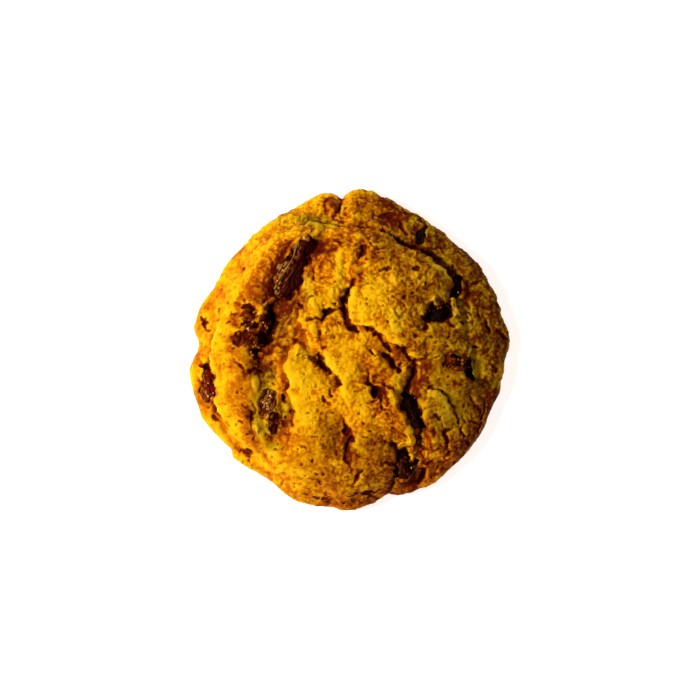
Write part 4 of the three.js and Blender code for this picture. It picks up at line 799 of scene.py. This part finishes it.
def strayed(plan):
    """Places in the plan that stray a little, so that what is drawn at them gets ragged edges."""
    return (plan[:, 0] + 0.35 * sampled(plan, 2.6, shift=1.3) + 0.35 * sampled(plan, 0.9, shift=5.1),
            plan[:, 1] + 0.35 * sampled(plan, 2.6, shift=8.7) + 0.35 * sampled(plan, 0.9, shift=3.9))


def averaged(mesh, values, rounds, share=1.0):
    """Columns of values for each vertex, drawn by a share towards the average round it in each round."""
    ends = np.empty(len(mesh.edges) * 2, dtype=np.int32)
    mesh.edges.foreach_get("vertices", ends)
    first, second = ends.reshape(-1, 2).T
    count = np.bincount(ends, minlength=len(values))
    for _ in range(rounds):
        total = np.column_stack([np.bincount(first, column[second], len(values))
                                 + np.bincount(second, column[first], len(values)) for column in values.T])
        values = values + np.reshape(share, (-1, 1)) * (total / count[:, None] - values)
    return values


def standing_out(mesh, places, rounds):
    """How far each vertex stands out of the surface round it, in mm. More rounds look further."""
    return ((places - averaged(mesh, places, rounds)) * vertex_rows(mesh, "normal")).sum(axis=1)


def steepness(mesh, start):
    """0 where a vertex faces up more than start, 1 where it faces up less than start by 0.3."""
    return ease(start - vertex_rows(mesh, "normal")[:, 2], 0.0, 0.3)


def spread_evenly(mesh, places, rounds, share):
    """Slides vertices along the surface by a share, so that steep walls get as many as flat ground."""
    for _ in range(rounds):
        set_places(mesh, places)
        normals = vertex_rows(mesh, "normal")
        slide = averaged(mesh, places, 1) - places
        slide -= normals * (slide * normals).sum(axis=1)[:, None]
        places = places + 0.9 * share[:, None] * slide
    set_places(mesh, places)
    return places


def crumbled_walls(mesh, places, share):
    """Evens out the vertices on the walls of cracks and pockets and breaks the walls up into crumbs."""
    places = averaged(mesh, places, CRUMBLE_ROUNDS, 0.5 * share)
    set_places(mesh, places)
    steep = share > 0
    spots = places[steep]
    relief = 0.5 * sampled(spots, 1.2, shift=3.1) + 0.3 * sampled(spots, 0.55, shift=1.9)
    places[steep] += vertex_rows(mesh, "normal")[steep] * (relief * share[steep])[:, None]
    places[:, 2] = np.maximum(places[:, 2], 0)
    set_places(mesh, places)
    return places


def carried(before, after, values):
    """Columns of values of a surface, found again where its vertices slid to."""
    tree = KDTree(len(before))
    for index, place in enumerate(before.tolist()):
        tree.insert(place, index)
    tree.balance()
    found = [tree.find_n(place, 3) for place in after.tolist()]
    index = np.array([[at for _, at, _ in near] for near in found])
    weight = 1 / (np.array([[away for _, _, away in near] for near in found]) + 1e-3)
    return (values[index] * weight[:, :, None]).sum(axis=1) / weight.sum(axis=1)[:, None]


def unrolled(mesh):
    """The flat fans as plain dough: x, y and height in mm, the tray side, and x and y of the flat base."""
    flat = vertex_rows(mesh, "co")
    base = flat[:, 2] <= TRAY_FAN_HEIGHT / 2
    ring, turn = fan_places(flat)
    ring = np.clip(np.where(base, ring / TRAY_FAN_RADIUS, ring), 0, 1)
    growth = lobed(COOKIE_RADIUS, OUTLINE_LOBES, np.degrees(turn)) / COOKIE_RADIUS
    radius, height = section()
    step = evened_places(ring, turn) * (len(radius) - 1)
    reach = np.interp(step, np.arange(len(radius)), radius) * growth
    base_reach = (COOKIE_RADIUS - BASE_SET_BACK - BASE_EDGE_GAP) * growth * ring
    skirt = np.interp(step, np.arange(len(height)), height)
    cos, sin = np.cos(turn), np.sin(turn)
    return reach * cos, reach * sin, skirt, base, base_reach * cos, base_reach * sin


def raised(mesh, settings):
    """Raises the smooth crust: places, tray side, and x, y, share on top, painted edge highlight and ledge of
    each.
    """
    x, y, skirt, base, base_x, base_y = unrolled(mesh)
    sx, sy = strayed(np.column_stack([x, y, np.zeros_like(x)]))
    over, crest, ledge, lean_x, lean_y = crust_over(x, y, skirt, (sx - x) * (0.3 + 0.5 * ease(x, -22, -12)))
    on_top = above_skirt(skirt)
    for *ellipse, depth in HOLLOWS:
        over -= depth * np.exp(-ellipse_reach(x, y, *ellipse) ** 2)
    over += settings.plate_rise * plate_rise(sx, sy) - valley_depth(x, y)
    for *ellipse, rise in KNOBS:
        over += rise * (1 - ease(ellipse_reach(sx, sy, *ellipse), 0.5, 1.2))
    bent = np.column_stack([x + lean_x * on_top, y + lean_y * on_top, skirt + over * on_top])
    bent[base] = np.column_stack([base_x, base_y, np.zeros_like(x)])[base]
    smooth = spread_evenly(mesh, bent, SPREAD_ROUNDS, on_top)
    return smooth, base, *carried(bent, smooth, np.column_stack([x, y, on_top, crest, ledge])).T


def laid_round_fruit(shaped, on_top, n):
    """Sinks the dough where a raisin lies bare and lays it over the rest. Gives bare spots and lit sides."""
    frayed = 0.35 * n.lumps + 0.45 * n.clods
    bare, lit_side = np.zeros((2, len(shaped)))
    for ellipse in BARE_PATCHES:
        reach = ellipse_reach(shaped[:, 0], shaped[:, 1], *ellipse)
        np.maximum(bare, 1 - ease(reach + frayed, 0.75, 1.15), out=bare)
    bare *= on_top
    for name, (heading, length, width, thickness, *_) in RAISINS.items():
        mid_x, mid_y, mid_z = raisin_middle(name)
        reach = ellipse_reach(shaped[:, 0], shaped[:, 1], mid_x, mid_y, length / 2, width / 2, heading)
        skin = mid_z + thickness / 2 * np.sqrt(np.clip(1 - reach ** 2, 0, 1))
        inside = (1 - ease(reach, 0.95, 1.06)) * on_top
        west = ease(mid_x - shaped[:, 0], 0.0, 2.2)
        np.maximum(lit_side, west * (1 - ease(reach, 1.2, 1.6)), out=lit_side)
        sunk = np.minimum(shaped[:, 2], skin - SUNK_UNDER_SKIN + 0.4 * west)
        laid_over = np.maximum(shaped[:, 2], skin + LAID_OVER_SKIN - 0.1 * west)
        shaped[:, 2] += ((sunk - shaped[:, 2]) * bare + (laid_over - shaped[:, 2]) * (1 - bare)) * inside
    shaped[:, 2] = np.maximum(shaped[:, 2], 0)
    return bare, lit_side


def stained(x, y, sx, sy, n):
    """Browning of the stains plus painted shade in the valleys, their paleness, and their dampness; the stains
    hold painted light.
    """
    browned, paled, damp = np.zeros((3, len(x)))
    for at_x, at_y, length, width, heading, browning, *dampness in STAINS:
        reach = ellipse_reach(sx + n.clods, sy + n.swell, at_x, at_y, length, width, heading)
        inside = 1 - ease(reach, 0.5, 1.5)
        browned = np.maximum(browned, browning * inside)
        paled = np.minimum(paled, browning * inside)
        if dampness:
            damp = np.maximum(damp, dampness[0] * inside)
    # Painted shade: the crust darkens in the valleys.
    return browned + 0.22 * valley_depth(x + n.clods, y + n.swell), paled, damp


def shape_dough(mesh, settings):
    """Moves the flat fans into the baked cookie and stores what its colour depends on."""
    smooth, base, x, y, on_top, crest, ledge = raised(mesh, settings)
    sx, sy = strayed(np.column_stack([x, y, np.zeros_like(x)]))
    normals = vertex_rows(mesh, "normal")
    n = SimpleNamespace(**{name: sampled(smooth, size, shift=shift) for name, (size, shift) in NOISES.items()})
    granules = sampled(smooth, 0.85, "VORONOI_F1", 13.2)
    seams = np.minimum(np.abs(sampled(smooth + 0.3 * n.grain[:, None], 1.7, shift=4.8)) / 0.22, 1)

    # Cracks and pits, and pores that are more frequent in the east.
    cut, sag, torn = carved(sx, sy, 0.3 * n.lumps + 0.22 * n.grain)
    speckled = ease(-n.pores - 0.44 + 0.13 * ease(x + 0.3 * y, -10, 16), 0.0, 0.16)
    cut = np.maximum(cut, PORE_DEPTH * speckled) * settings.crack_depth * on_top
    torn = np.maximum(torn, 0.55 * speckled) * on_top
    sag *= on_top

    # The crust is smooth in the west, rougher in the middle and roughest in the north.
    rough = (0.3 + 0.6 * ease(x + 0.35 * y, -22, -2) + 0.35 * ease(y + 0.3 * x, 2, 12)
             - 0.25 * ease(x - 0.3 * y, 12, 20))
    crumb = 0.9 * n.lumps + 0.5 * (0.5 - granules) + 0.9 * n.grain + 1.0 * (seams - 0.7)
    crust = (settings.swell * n.swell + settings.clod * n.clods * rough + settings.crumb * rough * crumb) / MM
    # The tray side is only pitted, and the crust gets flatter down to the tray.
    crust[base] = -np.abs(0.12 * n.clods + 0.1 * n.grain)[base]
    crust = np.where(base, crust, crust * np.clip(smooth[:, 2] / 1.2, 0, 1))
    shaped = smooth + normals * crust[:, None]
    shaped[:, 2] -= cut + settings.crack_sag * sag
    bare, lit_side = laid_round_fruit(shaped, on_top, n)
    # The walls of the cracks and of the fruit's pockets get vertices and crumble.
    set_places(mesh, shaped)
    shaped = spread_evenly(mesh, shaped, WALL_SPREAD_ROUNDS, steepness(mesh, 0.9) * on_top)
    wall = steepness(mesh, 0.75) * on_top
    shaped = crumbled_walls(mesh, shaped, wall)

    # Stains with painted light and shade, the toasted rim, painted shade on the east side away from the key
    # light and in the bends west of the cracks, and the outer crust darker towards the south east.
    browned, paled, damp = stained(x, y, sx, sy, n)
    browned += settings.toast * ease(np.hypot(x, y) + 2 * n.clods, 15, 28) * (0.2 + 0.8 * ease(x, -16, 1))
    # Painted shade: the east side, away from the key light, is browned and given the olive damp tone, less
    # along the edge highlight.
    shaded = ease(x + 0.35 * y + 3 * n.clods, 5, 26)
    browned += settings.oven_side * shaded - 0.5 * np.minimum(crest, 1) * shaded
    damp = np.maximum(damp, 0.7 * shaded)
    # Painted shade: browning where the crust bends down west of a crack, on slopes facing away from the key
    # light.
    browned += 0.65 * sag
    browned += 0.22 * ease(np.hypot(x + 2, y + 1) + 2 * n.clods, 10, 18) * ease(x - 0.6 * y, -16, 6)
    # The crust split where it came out darkest. Then painted shade on the lit ledge, and browning with painted
    # shade at the foot of the rim.
    torn = np.maximum(torn, 0.7 * ease(browned + 0.7 * n.lumps + 0.4 * (granules - 0.5), 0.75, 1.2))
    browned += settings.ledge_toast * ledge * ease(-x, 4, 16)
    browned += settings.tray_toast * (1 - ease(shaped[:, 2] + 0.6 * n.clods, 0.8, 3.4))
    browned = np.clip(browned + paled, -0.3, 1)
    # Painted highlight on what stands out and painted shade in the hollows, with the edge highlight added in.
    fine_tips = standing_out(mesh, shaped, NEAR_ROUNDS) / FINE_TIP
    broad_tips = standing_out(mesh, shaped, FAR_ROUNDS) / BROAD_TIP
    tips = np.clip(fine_tips, -1.2, 2) + 1.5 * np.clip(broad_tips, -1.5, 2) + 3.5 * crest
    # Dark broken dough, partly painted shade, shows round the bare fruit, less on its lit side, and the colours
    # run softly over walls.
    torn = np.maximum(torn, (0.9 - 0.45 * lit_side) * bare)
    torn, browned, tips = averaged(mesh, np.column_stack([torn, browned, tips]), WALL_COLOUR_ROUNDS,
                                   WALL_COLOUR_SHARE * wall).T
    torn += 0.4 * wall * sampled(shaped, 0.9, shift=5.3)
    set_attributes(mesh, tips=np.where(base, 0, tips), torn=np.where(base, 0, torn), browned=browned, damp=damp,
                   tray=np.where(base, 1.0, 0.0))


def raisin_middle(name):
    """Middle of a raisin's node in mm."""
    low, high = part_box(name)
    return (np.array(low) + np.array(high)) / 2 / MM


# ---------------------------------------------------------------- materials


def new_material(name):
    material = bpy.data.materials.new(name)
    material.use_nodes = True
    material.node_tree.nodes.clear()
    return material


def add(material, kind, inputs=None, **settings):
    """Adds a node with its settings. An input is a value, or an output of another node."""
    node = material.node_tree.nodes.new(kind)
    for key, value in settings.items():
        setattr(node, key, value)
    for key, value in (inputs or {}).items():
        if isinstance(value, bpy.types.NodeSocket):
            material.node_tree.links.new(value, node.inputs[key])
        else:
            node.inputs[key].default_value = value
    return node


def own_place(material):
    """The place on the piece itself, which patterns are laid out by."""
    return add(material, "ShaderNodeTexCoord").outputs["Object"]


def carried_by_mesh(material, name):
    """A value that the mesh carries for each vertex."""
    return add(material, "ShaderNodeAttribute", attribute_name=name).outputs["Fac"]


def cloudy(material, place, size, detail=2.0, roughness=0.5):
    """Noise with features of a size in mm."""
    return add(material, "ShaderNodeTexNoise", {"Vector": place, "Scale": 1 / (size * MM), "Detail": detail,
                                                "Roughness": roughness}).outputs["Fac"]


def math_node(material, operation, *values):
    return add(material, "ShaderNodeMath", dict(enumerate(values)), operation=operation).outputs[0]


def weighted(material, value, weight, rest):
    """The value times its weight, added to the rest."""
    return math_node(material, "MULTIPLY_ADD", value, weight, rest)


def limited(material, value):
    """The value, held between 0 and 1."""
    return math_node(material, "MINIMUM", math_node(material, "MAXIMUM", value, 0.0), 1.0)


def mixed(material, share, first, second):
    """The first colour, with a share of the second in it."""
    return add(material, "ShaderNodeMix", {0: share, 6: first, 7: second}, data_type="RGBA").outputs[2]


def ramp(material, factor, stops):
    """A colour ramp with the stops (position, colour)."""
    node = add(material, "ShaderNodeValToRGB", {"Fac": factor})
    elements = node.color_ramp.elements
    while len(elements) > 1:
        elements.remove(elements[-1])
    elements[0].position, elements[0].color = stops[0]
    for position, value in stops[1:]:
        elements.new(position).color = value
    return node.outputs["Color"]


def grained(material, height):
    """A normal with a fine grain of 0.1 mm."""
    return add(material, "ShaderNodeBump", {"Height": height, "Strength": 0.5,
                                            "Distance": 0.1 * MM}).outputs["Normal"]


def surfaced(material, inputs):
    """Finishes a material with its surface."""
    shader = add(material, "ShaderNodeBsdfPrincipled", inputs)
    add(material, "ShaderNodeOutputMaterial", {"Surface": shader.outputs["BSDF"]})
    return material


def baked_dough(settings):
    """Baked oat dough: dull golden crumb, dry and matt, maroon where the crust tore open, with painted shade
    and highlight.
    """
    m = new_material("baked_oat_dough")
    place = own_place(m)
    torn, tips, browned, damp = (carried_by_mesh(m, name) for name in ("torn", "tips", "browned", "damp"))
    patch = cloudy(m, place, 3.6)
    blotch = cloudy(m, place, 1.7, 3.0, 0.6)
    grain = cloudy(m, place, 0.45, 2.0, 0.6)
    # Tone: random patches and grain, lifted on tips by painted highlight, lowered in hollows by painted shade
    # and by browning, which carries painted shade too.
    tone = weighted(m, patch, 0.8, -0.17)
    for value, weight in ((blotch, 0.5), (grain, 0.45), (tips, 0.06), (browned, -0.6)):
        tone = weighted(m, value, weight, tone)
    bran = add(m, "ShaderNodeTexVoronoi", {"Vector": place, "Scale": 1 / (0.8 * MM)}).outputs["Distance"]
    specks = limited(m, weighted(m, bran, -5.0, weighted(m, blotch, 4.0, -1.1)))
    tone = weighted(m, specks, -0.25, tone)
    dry = ramp(m, tone, ((0.0, settings.umber), (0.22, settings.brown), (0.46, settings.orange),
                         (0.72, settings.gold), (1.0, settings.pale)))
    # The damp colours, which also give the east side its painted shade.
    moist = ramp(m, tone, ((0.0, settings.soaked), (0.25, settings.damp), (0.6, settings.olive),
                           (1.0, settings.straw)))
    crust = mixed(m, damp, dry, moist)
    # Painted shade in the cracks: maroon going nearly black deeper in.
    inside = ramp(m, weighted(m, torn, 1.2, -0.5), ((0.2, settings.maroon), (0.8, settings.burnt)))
    depth = limited(m, weighted(m, grain, 0.8, weighted(m, torn, 1.6, -0.6)))
    return surfaced(m, {"Base Color": mixed(m, depth, crust, inside), "Roughness": 0.8,
                        "Specular IOR Level": 0.04, "Normal": grained(m, grain)})


def raisin_skin(settings):
    """Sun-dried grape skin: dark, leathery and faintly glossy, with dust and sugar on the folds; fold tops and
    the west flank are painted lighter and the creases darker.
    """
    m = new_material("dried_raisin_skin")
    place = own_place(m)
    fold, dusted, ruddy = (carried_by_mesh(m, name) for name in ("fold", "dusted", "ruddy"))
    dust = weighted(m, cloudy(m, place, 0.7, 3.0), 0.6, weighted(m, fold, 1.2, -0.6))
    tone = math_node(m, "MULTIPLY", dust, dusted)
    dark = mixed(m, ruddy, settings.skin, settings.ruby)
    bright = ramp(m, tone, ((0.25, settings.flesh), (0.75, settings.fold)))
    share = limited(m, math_node(m, "MULTIPLY", tone, 3.0))
    return surfaced(m, {"Base Color": mixed(m, share, dark, bright), "Roughness": 0.5,
                        "Specular IOR Level": 0.03, "Normal": grained(m, cloudy(m, place, 0.35))})


def sugar(settings):
    """Melted and set sugar grains: clear, faintly amber and glossy, so each shows as one small glint."""
    m = new_material("baked_sugar_crystal")
    tint = ramp(m, cloudy(m, own_place(m), 2.0), ((0.4, settings.amber), (0.65, settings.clear)))
    return surfaced(m, {"Base Color": tint, "Roughness": 0.4, "IOR": 1.54, "Specular IOR Level": 0.25})


def lit_acrylic(settings):
    """Opal acrylic of a lit table: matt white and faintly glowing, which leaves the shadow pale."""
    m = new_material("opal_acrylic")
    tint = ramp(m, cloudy(m, own_place(m), 40), ((0.3, linear("FBFBFB")), (0.7, linear("FFFFFF"))))
    return surfaced(m, {"Base Color": tint, "Roughness": 0.9, "Specular IOR Level": 0.1,
                        "Emission Color": (1, 1, 1, 1), "Emission Strength": settings.floor_glow})


# ---------------------------------------------------------------- pieces


def add_piece(mesh, material, nodes=(), smooth=True):
    """Links a finished mesh as a piece that rides on the cookie."""
    mesh.materials.append(material)
    if smooth:
        mesh.shade_smooth()
    else:
        mesh.shade_flat()
    piece = bpy.data.objects.new(mesh.name, mesh)
    bpy.context.scene.collection.objects.link(piece)
    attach(piece, "root")
    if nodes:
        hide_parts(*nodes)


class COOKIE_OT_dough(bpy.types.Operator):
    """Bakes the cracked dough body"""

    bl_idname = "cookie.dough"
    bl_label = "Bake Dough"

    def execute(self, context):
        settings = context.scene.cookie_dough
        mesh = dough_mesh(settings)
        shape_dough(mesh, settings)
        add_piece(mesh, baked_dough(settings), ["dough"])
        return {"FINISHED"}


def raisin_mesh(name, heading, length, width, thickness, dust, ruddy, settings):
    """A dried fruit with furrows along its length, in its node's place."""
    bm = bmesh.new()
    bmesh.ops.create_icosphere(bm, subdivisions=6, radius=1.0)
    mesh = finished(bm, name + "_skin")
    unit = vertex_rows(mesh, "co")
    half_sizes = np.array([length, width, thickness]) / 2
    number = list(RAISINS).index(name)
    stretched = unit * half_sizes * np.array([0.4, 1.0, 1.0])
    stray = np.column_stack([sampled(stretched, 1.8, shift=number + k) for k in (0.0, 3.3, 6.6)])
    bent = stretched + 0.9 * stray
    folds = np.sqrt(np.abs(sampled(bent, 1.25, shift=number * 1.7)))
    creases = np.sqrt(np.abs(sampled(bent, 0.7, shift=number * 2.9)))
    knots = sampled(unit * half_sizes, 0.8, shift=number * 3.7)
    dents = sampled(unit * half_sizes, 2.6, shift=number)
    depth = settings.wrinkle / MM * min(width / 5, 1)
    relief = depth * (1.2 * (folds - 0.85) + 0.9 * (creases - 0.5) + 0.45 * knots) + 0.8 * dents
    shaped = unit * (half_sizes + relief[:, None])
    turn = math.radians(heading)
    spin = np.array([[math.cos(turn), math.sin(turn), 0], [-math.sin(turn), math.cos(turn), 0], [0, 0, 1]])
    shaped = shaped @ spin + raisin_middle(name)
    set_places(mesh, shaped)
    # Painted highlight and shade: fold tops lighter, creases darker, and the west flank, which faces the key
    # light, lighter.
    set_attributes(mesh, fold=np.clip(0.35 + 9 * standing_out(mesh, shaped, FOLD_ROUNDS), 0, 1),
                   dusted=dust * np.clip(0.45 + 1.4 * unit[:, 1], 0, 1.2), ruddy=np.full(len(unit), ruddy))
    return mesh


class COOKIE_OT_raisins(bpy.types.Operator):
    """Sets the raisins in their pockets"""

    bl_idname = "cookie.raisins"
    bl_label = "Set Raisins"

    def execute(self, context):
        settings = context.scene.cookie_fruit
        skin = raisin_skin(settings)
        for name, shape in RAISINS.items():
            add_piece(raisin_mesh(name, *shape, settings), skin, [name])
        return {"FINISHED"}


def search_tree(*names):
    """A search tree over the named meshes."""
    bm = bmesh.new()
    for name in names:
        bm.from_mesh(bpy.data.meshes[name])
    tree = BVHTree.FromBMesh(bm)
    bm.free()
    return tree


def dropped(tree, x, y):
    """Place and normal in metres where a thing dropped at x and y in mm comes to lie."""
    return tree.ray_cast(Vector((x, y, DROP_HEIGHT)) * MM, DOWN)[:2]


def landing_places(count, chance):
    """Random places on the crust, outside its cracks: place and normal in metres, browning and dampness with
    their painted shade.
    """
    dough = bpy.data.meshes["cookie_dough"]
    torn, browned, damp = (dough.attributes[name].data for name in ("torn", "browned", "damp"))
    tree = search_tree("cookie_dough")
    found = []
    while len(found) < count:
        turn = chance.uniform(0, 2 * math.pi)
        reach = COOKIE_RADIUS * math.sqrt(chance.random()) * 1.02
        start = Vector((reach * math.cos(turn) * MM, reach * math.sin(turn) * MM, DROP_HEIGHT * MM))
        place, normal, face, _ = tree.ray_cast(start, DOWN)
        if face is None:
            continue
        vertex = dough.polygons[face].vertices[0]
        if torn[vertex].value < MOST_TORN:
            found.append((place, normal, browned[vertex].value, damp[vertex].value))
    return found


def torn_crumbs(tree, material, chance):
    """Torn crumbs in the raisins' pockets, lying on dough and fruit alike."""
    bm = bmesh.new()
    layers = {key: bm.verts.layers.float.new(key) for key in ("browned", "tips")}
    for at_x, at_y, length, width, heading, count, least, largest, pale, dark, tips in CRUMB_BEDS:
        turn = Matrix.Rotation(math.radians(heading), 3, "Z")
        for _ in range(count):
            way = chance.uniform(0, 2 * math.pi)
            reach = math.sqrt(chance.random())
            spot = turn @ Vector((reach * length * math.cos(way), reach * width * math.sin(way), 0))
            place, _ = dropped(tree, at_x + spot.x, at_y + spot.y)
            size = least + (largest - least) * chance.random() ** 2
            browning = chance.uniform(pale, dark)
            fineness = 3 if size > LARGE_CRUMB else 2
            made = bmesh.ops.create_icosphere(bm, subdivisions=fineness, radius=1.0)["verts"]
            seed = Vector((chance.uniform(0, 99), 0, 0))
            stretch = Vector((1.0, chance.uniform(0.6, 1.0), chance.uniform(0.5, 0.8)))
            spin = Matrix.Rotation(chance.uniform(0, 2 * math.pi), 3, "Z")
            for vert in made:
                lump = 1 + 0.7 * noise.noise(vert.co * 1.3 + seed) + 0.4 * noise.noise(vert.co * 3.1 + seed)
                vert.co = place + spin @ (vert.co * lump * stretch) * size * MM
                vert[layers["browned"]] = browning
                vert[layers["tips"]] = tips
    add_piece(finished(bm, "torn_crumbs"), material)


def scattered(name, places, material, shape_one, tips=0.0):
    """One mesh of many small shapes, each made by shape_one at its place in the tone of the crust there."""
    bm = bmesh.new()
    layers = [bm.verts.layers.float.new(key) for key in ("tips", "browned", "damp")]
    for place, normal, *tone in places:
        for vert in shape_one(bm, place, normal):
            for layer, value in zip(layers, (tips, *tone)):
                vert[layer] = value
    add_piece(finished(bm, name), material, smooth=False)


class COOKIE_OT_crumbs(bpy.types.Operator):
    """Scatters crumbs and sugar over the crust"""

    bl_idname = "cookie.crumbs"
    bl_label = "Scatter Crumbs"

    def execute(self, context):
        settings = context.scene.cookie_topping
        dough = bpy.data.materials["baked_oat_dough"]
        chance = random.Random(SEED)

        def crumb(bm, place, normal):
            size = MM * min(0.14 + chance.expovariate(12), 0.5)
            tall = chance.uniform(0.6, 1.0)
            made = bmesh.ops.create_icosphere(bm, subdivisions=1, radius=1.0)["verts"]
            for vert in made:
                vert.co *= chance.uniform(0.7, 1.25)
            width = chance.uniform(0.6, 1)
            spin = Matrix.Rotation(chance.uniform(0, 2 * math.pi), 4, "Z")
            tilt = normal.to_track_quat("Z", "Y").to_matrix().to_4x4()
            bmesh.ops.transform(bm, verts=made, matrix=Matrix.Translation(place - normal * size * 0.15) @ tilt
                                @ spin @ Matrix.Diagonal((size, size * width, size * tall, 1)))
            return made

        def crystal(bm, place, normal, size=None):
            size = MM * (size or chance.uniform(0.1, 0.17))
            made = bmesh.ops.create_cube(bm, size=1.0)["verts"]
            turn = Matrix.Rotation(chance.uniform(0, math.pi), 4, (chance.random(), chance.random(), 0.3))
            bmesh.ops.transform(bm, verts=made, matrix=Matrix.Translation(place + normal * size * 0.3) @ turn
                                @ Matrix.Diagonal((size, size, size * chance.uniform(0.7, 1.3), 1)))
            return made

        tree = search_tree("cookie_dough", *(node + "_skin" for node in RAISINS))
        torn_crumbs(tree, dough, chance)
        # The loose crumbs get a painted highlight.
        scattered("baked_crumbs", landing_places(settings.crumbs, chance), dough, crumb, tips=1.0)
        sweet = sugar(settings)
        scattered("sugar_crystals", landing_places(settings.crystals, chance), sweet, crystal)
        # Sugar grains set where the fruit shows glints, standing in for those highlights.
        bm = bmesh.new()
        for x, y, size in SUGAR_ON_FRUIT:
            crystal(bm, *dropped(tree, x, y), size)
        add_piece(finished(bm, "sugar_on_fruit"), sweet, smooth=False)
        return {"FINISHED"}


def add_light(name, place, size, power):
    """A square soft box at a place, turned to the cookie."""
    data = bpy.data.lights.new(name, "AREA")
    data.size = size
    data.energy = power
    light = bpy.data.objects.new(name, data)
    light.location = place
    light.rotation_euler = (-Vector(place)).to_track_quat("-Z", "Y").to_euler()
    bpy.context.scene.collection.objects.link(light)


class COOKIE_OT_stage(bpy.types.Operator):
    """Lays the floor and sets the lights and the camera"""

    bl_idname = "cookie.stage"
    bl_label = "Set Stage"

    def execute(self, context):
        settings = context.scene.cookie_stage
        bm = bmesh.new()
        bmesh.ops.create_grid(bm, x_segments=1, y_segments=1, size=FLOOR_REACH)
        mesh = finished(bm, "floor")
        mesh.transform(Matrix.Translation((0, 0, -FLOOR_GAP)))
        mesh.materials.append(lit_acrylic(settings))
        floor = bpy.data.objects.new("floor", mesh)
        context.scene.collection.objects.link(floor)

        add_light("key", KEY_PLACE, KEY_SIZE, settings.key_power)
        world = bpy.data.worlds.new("studio")
        world.use_nodes = True
        sky = world.node_tree.nodes["Background"].inputs
        sky["Color"].default_value = settings.sky_colour
        sky["Strength"].default_value = settings.sky
        context.scene.world = world
        context.scene.view_settings.view_transform = "Standard"

        camera = bpy.data.objects.new("camera", bpy.data.cameras.new("camera"))
        rim_distance = settings.camera_height - WIDEST_HEIGHT * MM
        camera.data.sensor_width = SENSOR_WIDTH
        camera.data.lens = SENSOR_WIDTH * rim_distance / settings.frame_width
        camera.location = (0, 0, settings.camera_height)
        context.scene.collection.objects.link(camera)
        context.scene.camera = camera
        return {"FINISHED"}


class COOKIE_PT_panel(bpy.types.Panel):
    """Lists what bakes the cookie"""

    bl_idname = "COOKIE_PT_panel"
    bl_label = "Cookie"
    bl_space_type = "VIEW_3D"
    bl_region_type = "UI"
    bl_category = "Cookie"

    def draw(self, context):
        for name, (_, operator) in GROUPS.items():
            settings = getattr(context.scene, name)
            box = self.layout.box()
            for key in settings.__annotations__:
                box.prop(settings, key)
            box.operator(operator)


# Each group of settings by its name in the Blender scene, with the operator that uses it.
GROUPS = {
    "cookie_dough": (DoughSettings, "cookie.dough"),
    "cookie_fruit": (FruitSettings, "cookie.raisins"),
    "cookie_topping": (ToppingSettings, "cookie.crumbs"),
    "cookie_stage": (StageSettings, "cookie.stage"),
}
CLASSES = (*(group for group, _ in GROUPS.values()), COOKIE_OT_dough, COOKIE_OT_raisins, COOKIE_OT_crumbs,
           COOKIE_OT_stage, COOKIE_PT_panel)


def register():
    for cls in CLASSES:
        bpy.utils.register_class(cls)
    for name, (group, _) in GROUPS.items():
        setattr(bpy.types.Scene, name, PointerProperty(type=group))


def unregister():
    for name in GROUPS:
        delattr(bpy.types.Scene, name)
    for cls in reversed(CLASSES):
        bpy.utils.unregister_class(cls)


def main():
    register()
    bpy.ops.cookie.stage()
    bpy.ops.cookie.dough()
    bpy.ops.cookie.raisins()
    bpy.ops.cookie.crumbs()
    bpy.context.view_layer.update()


if __name__ == "__main__":
    main()
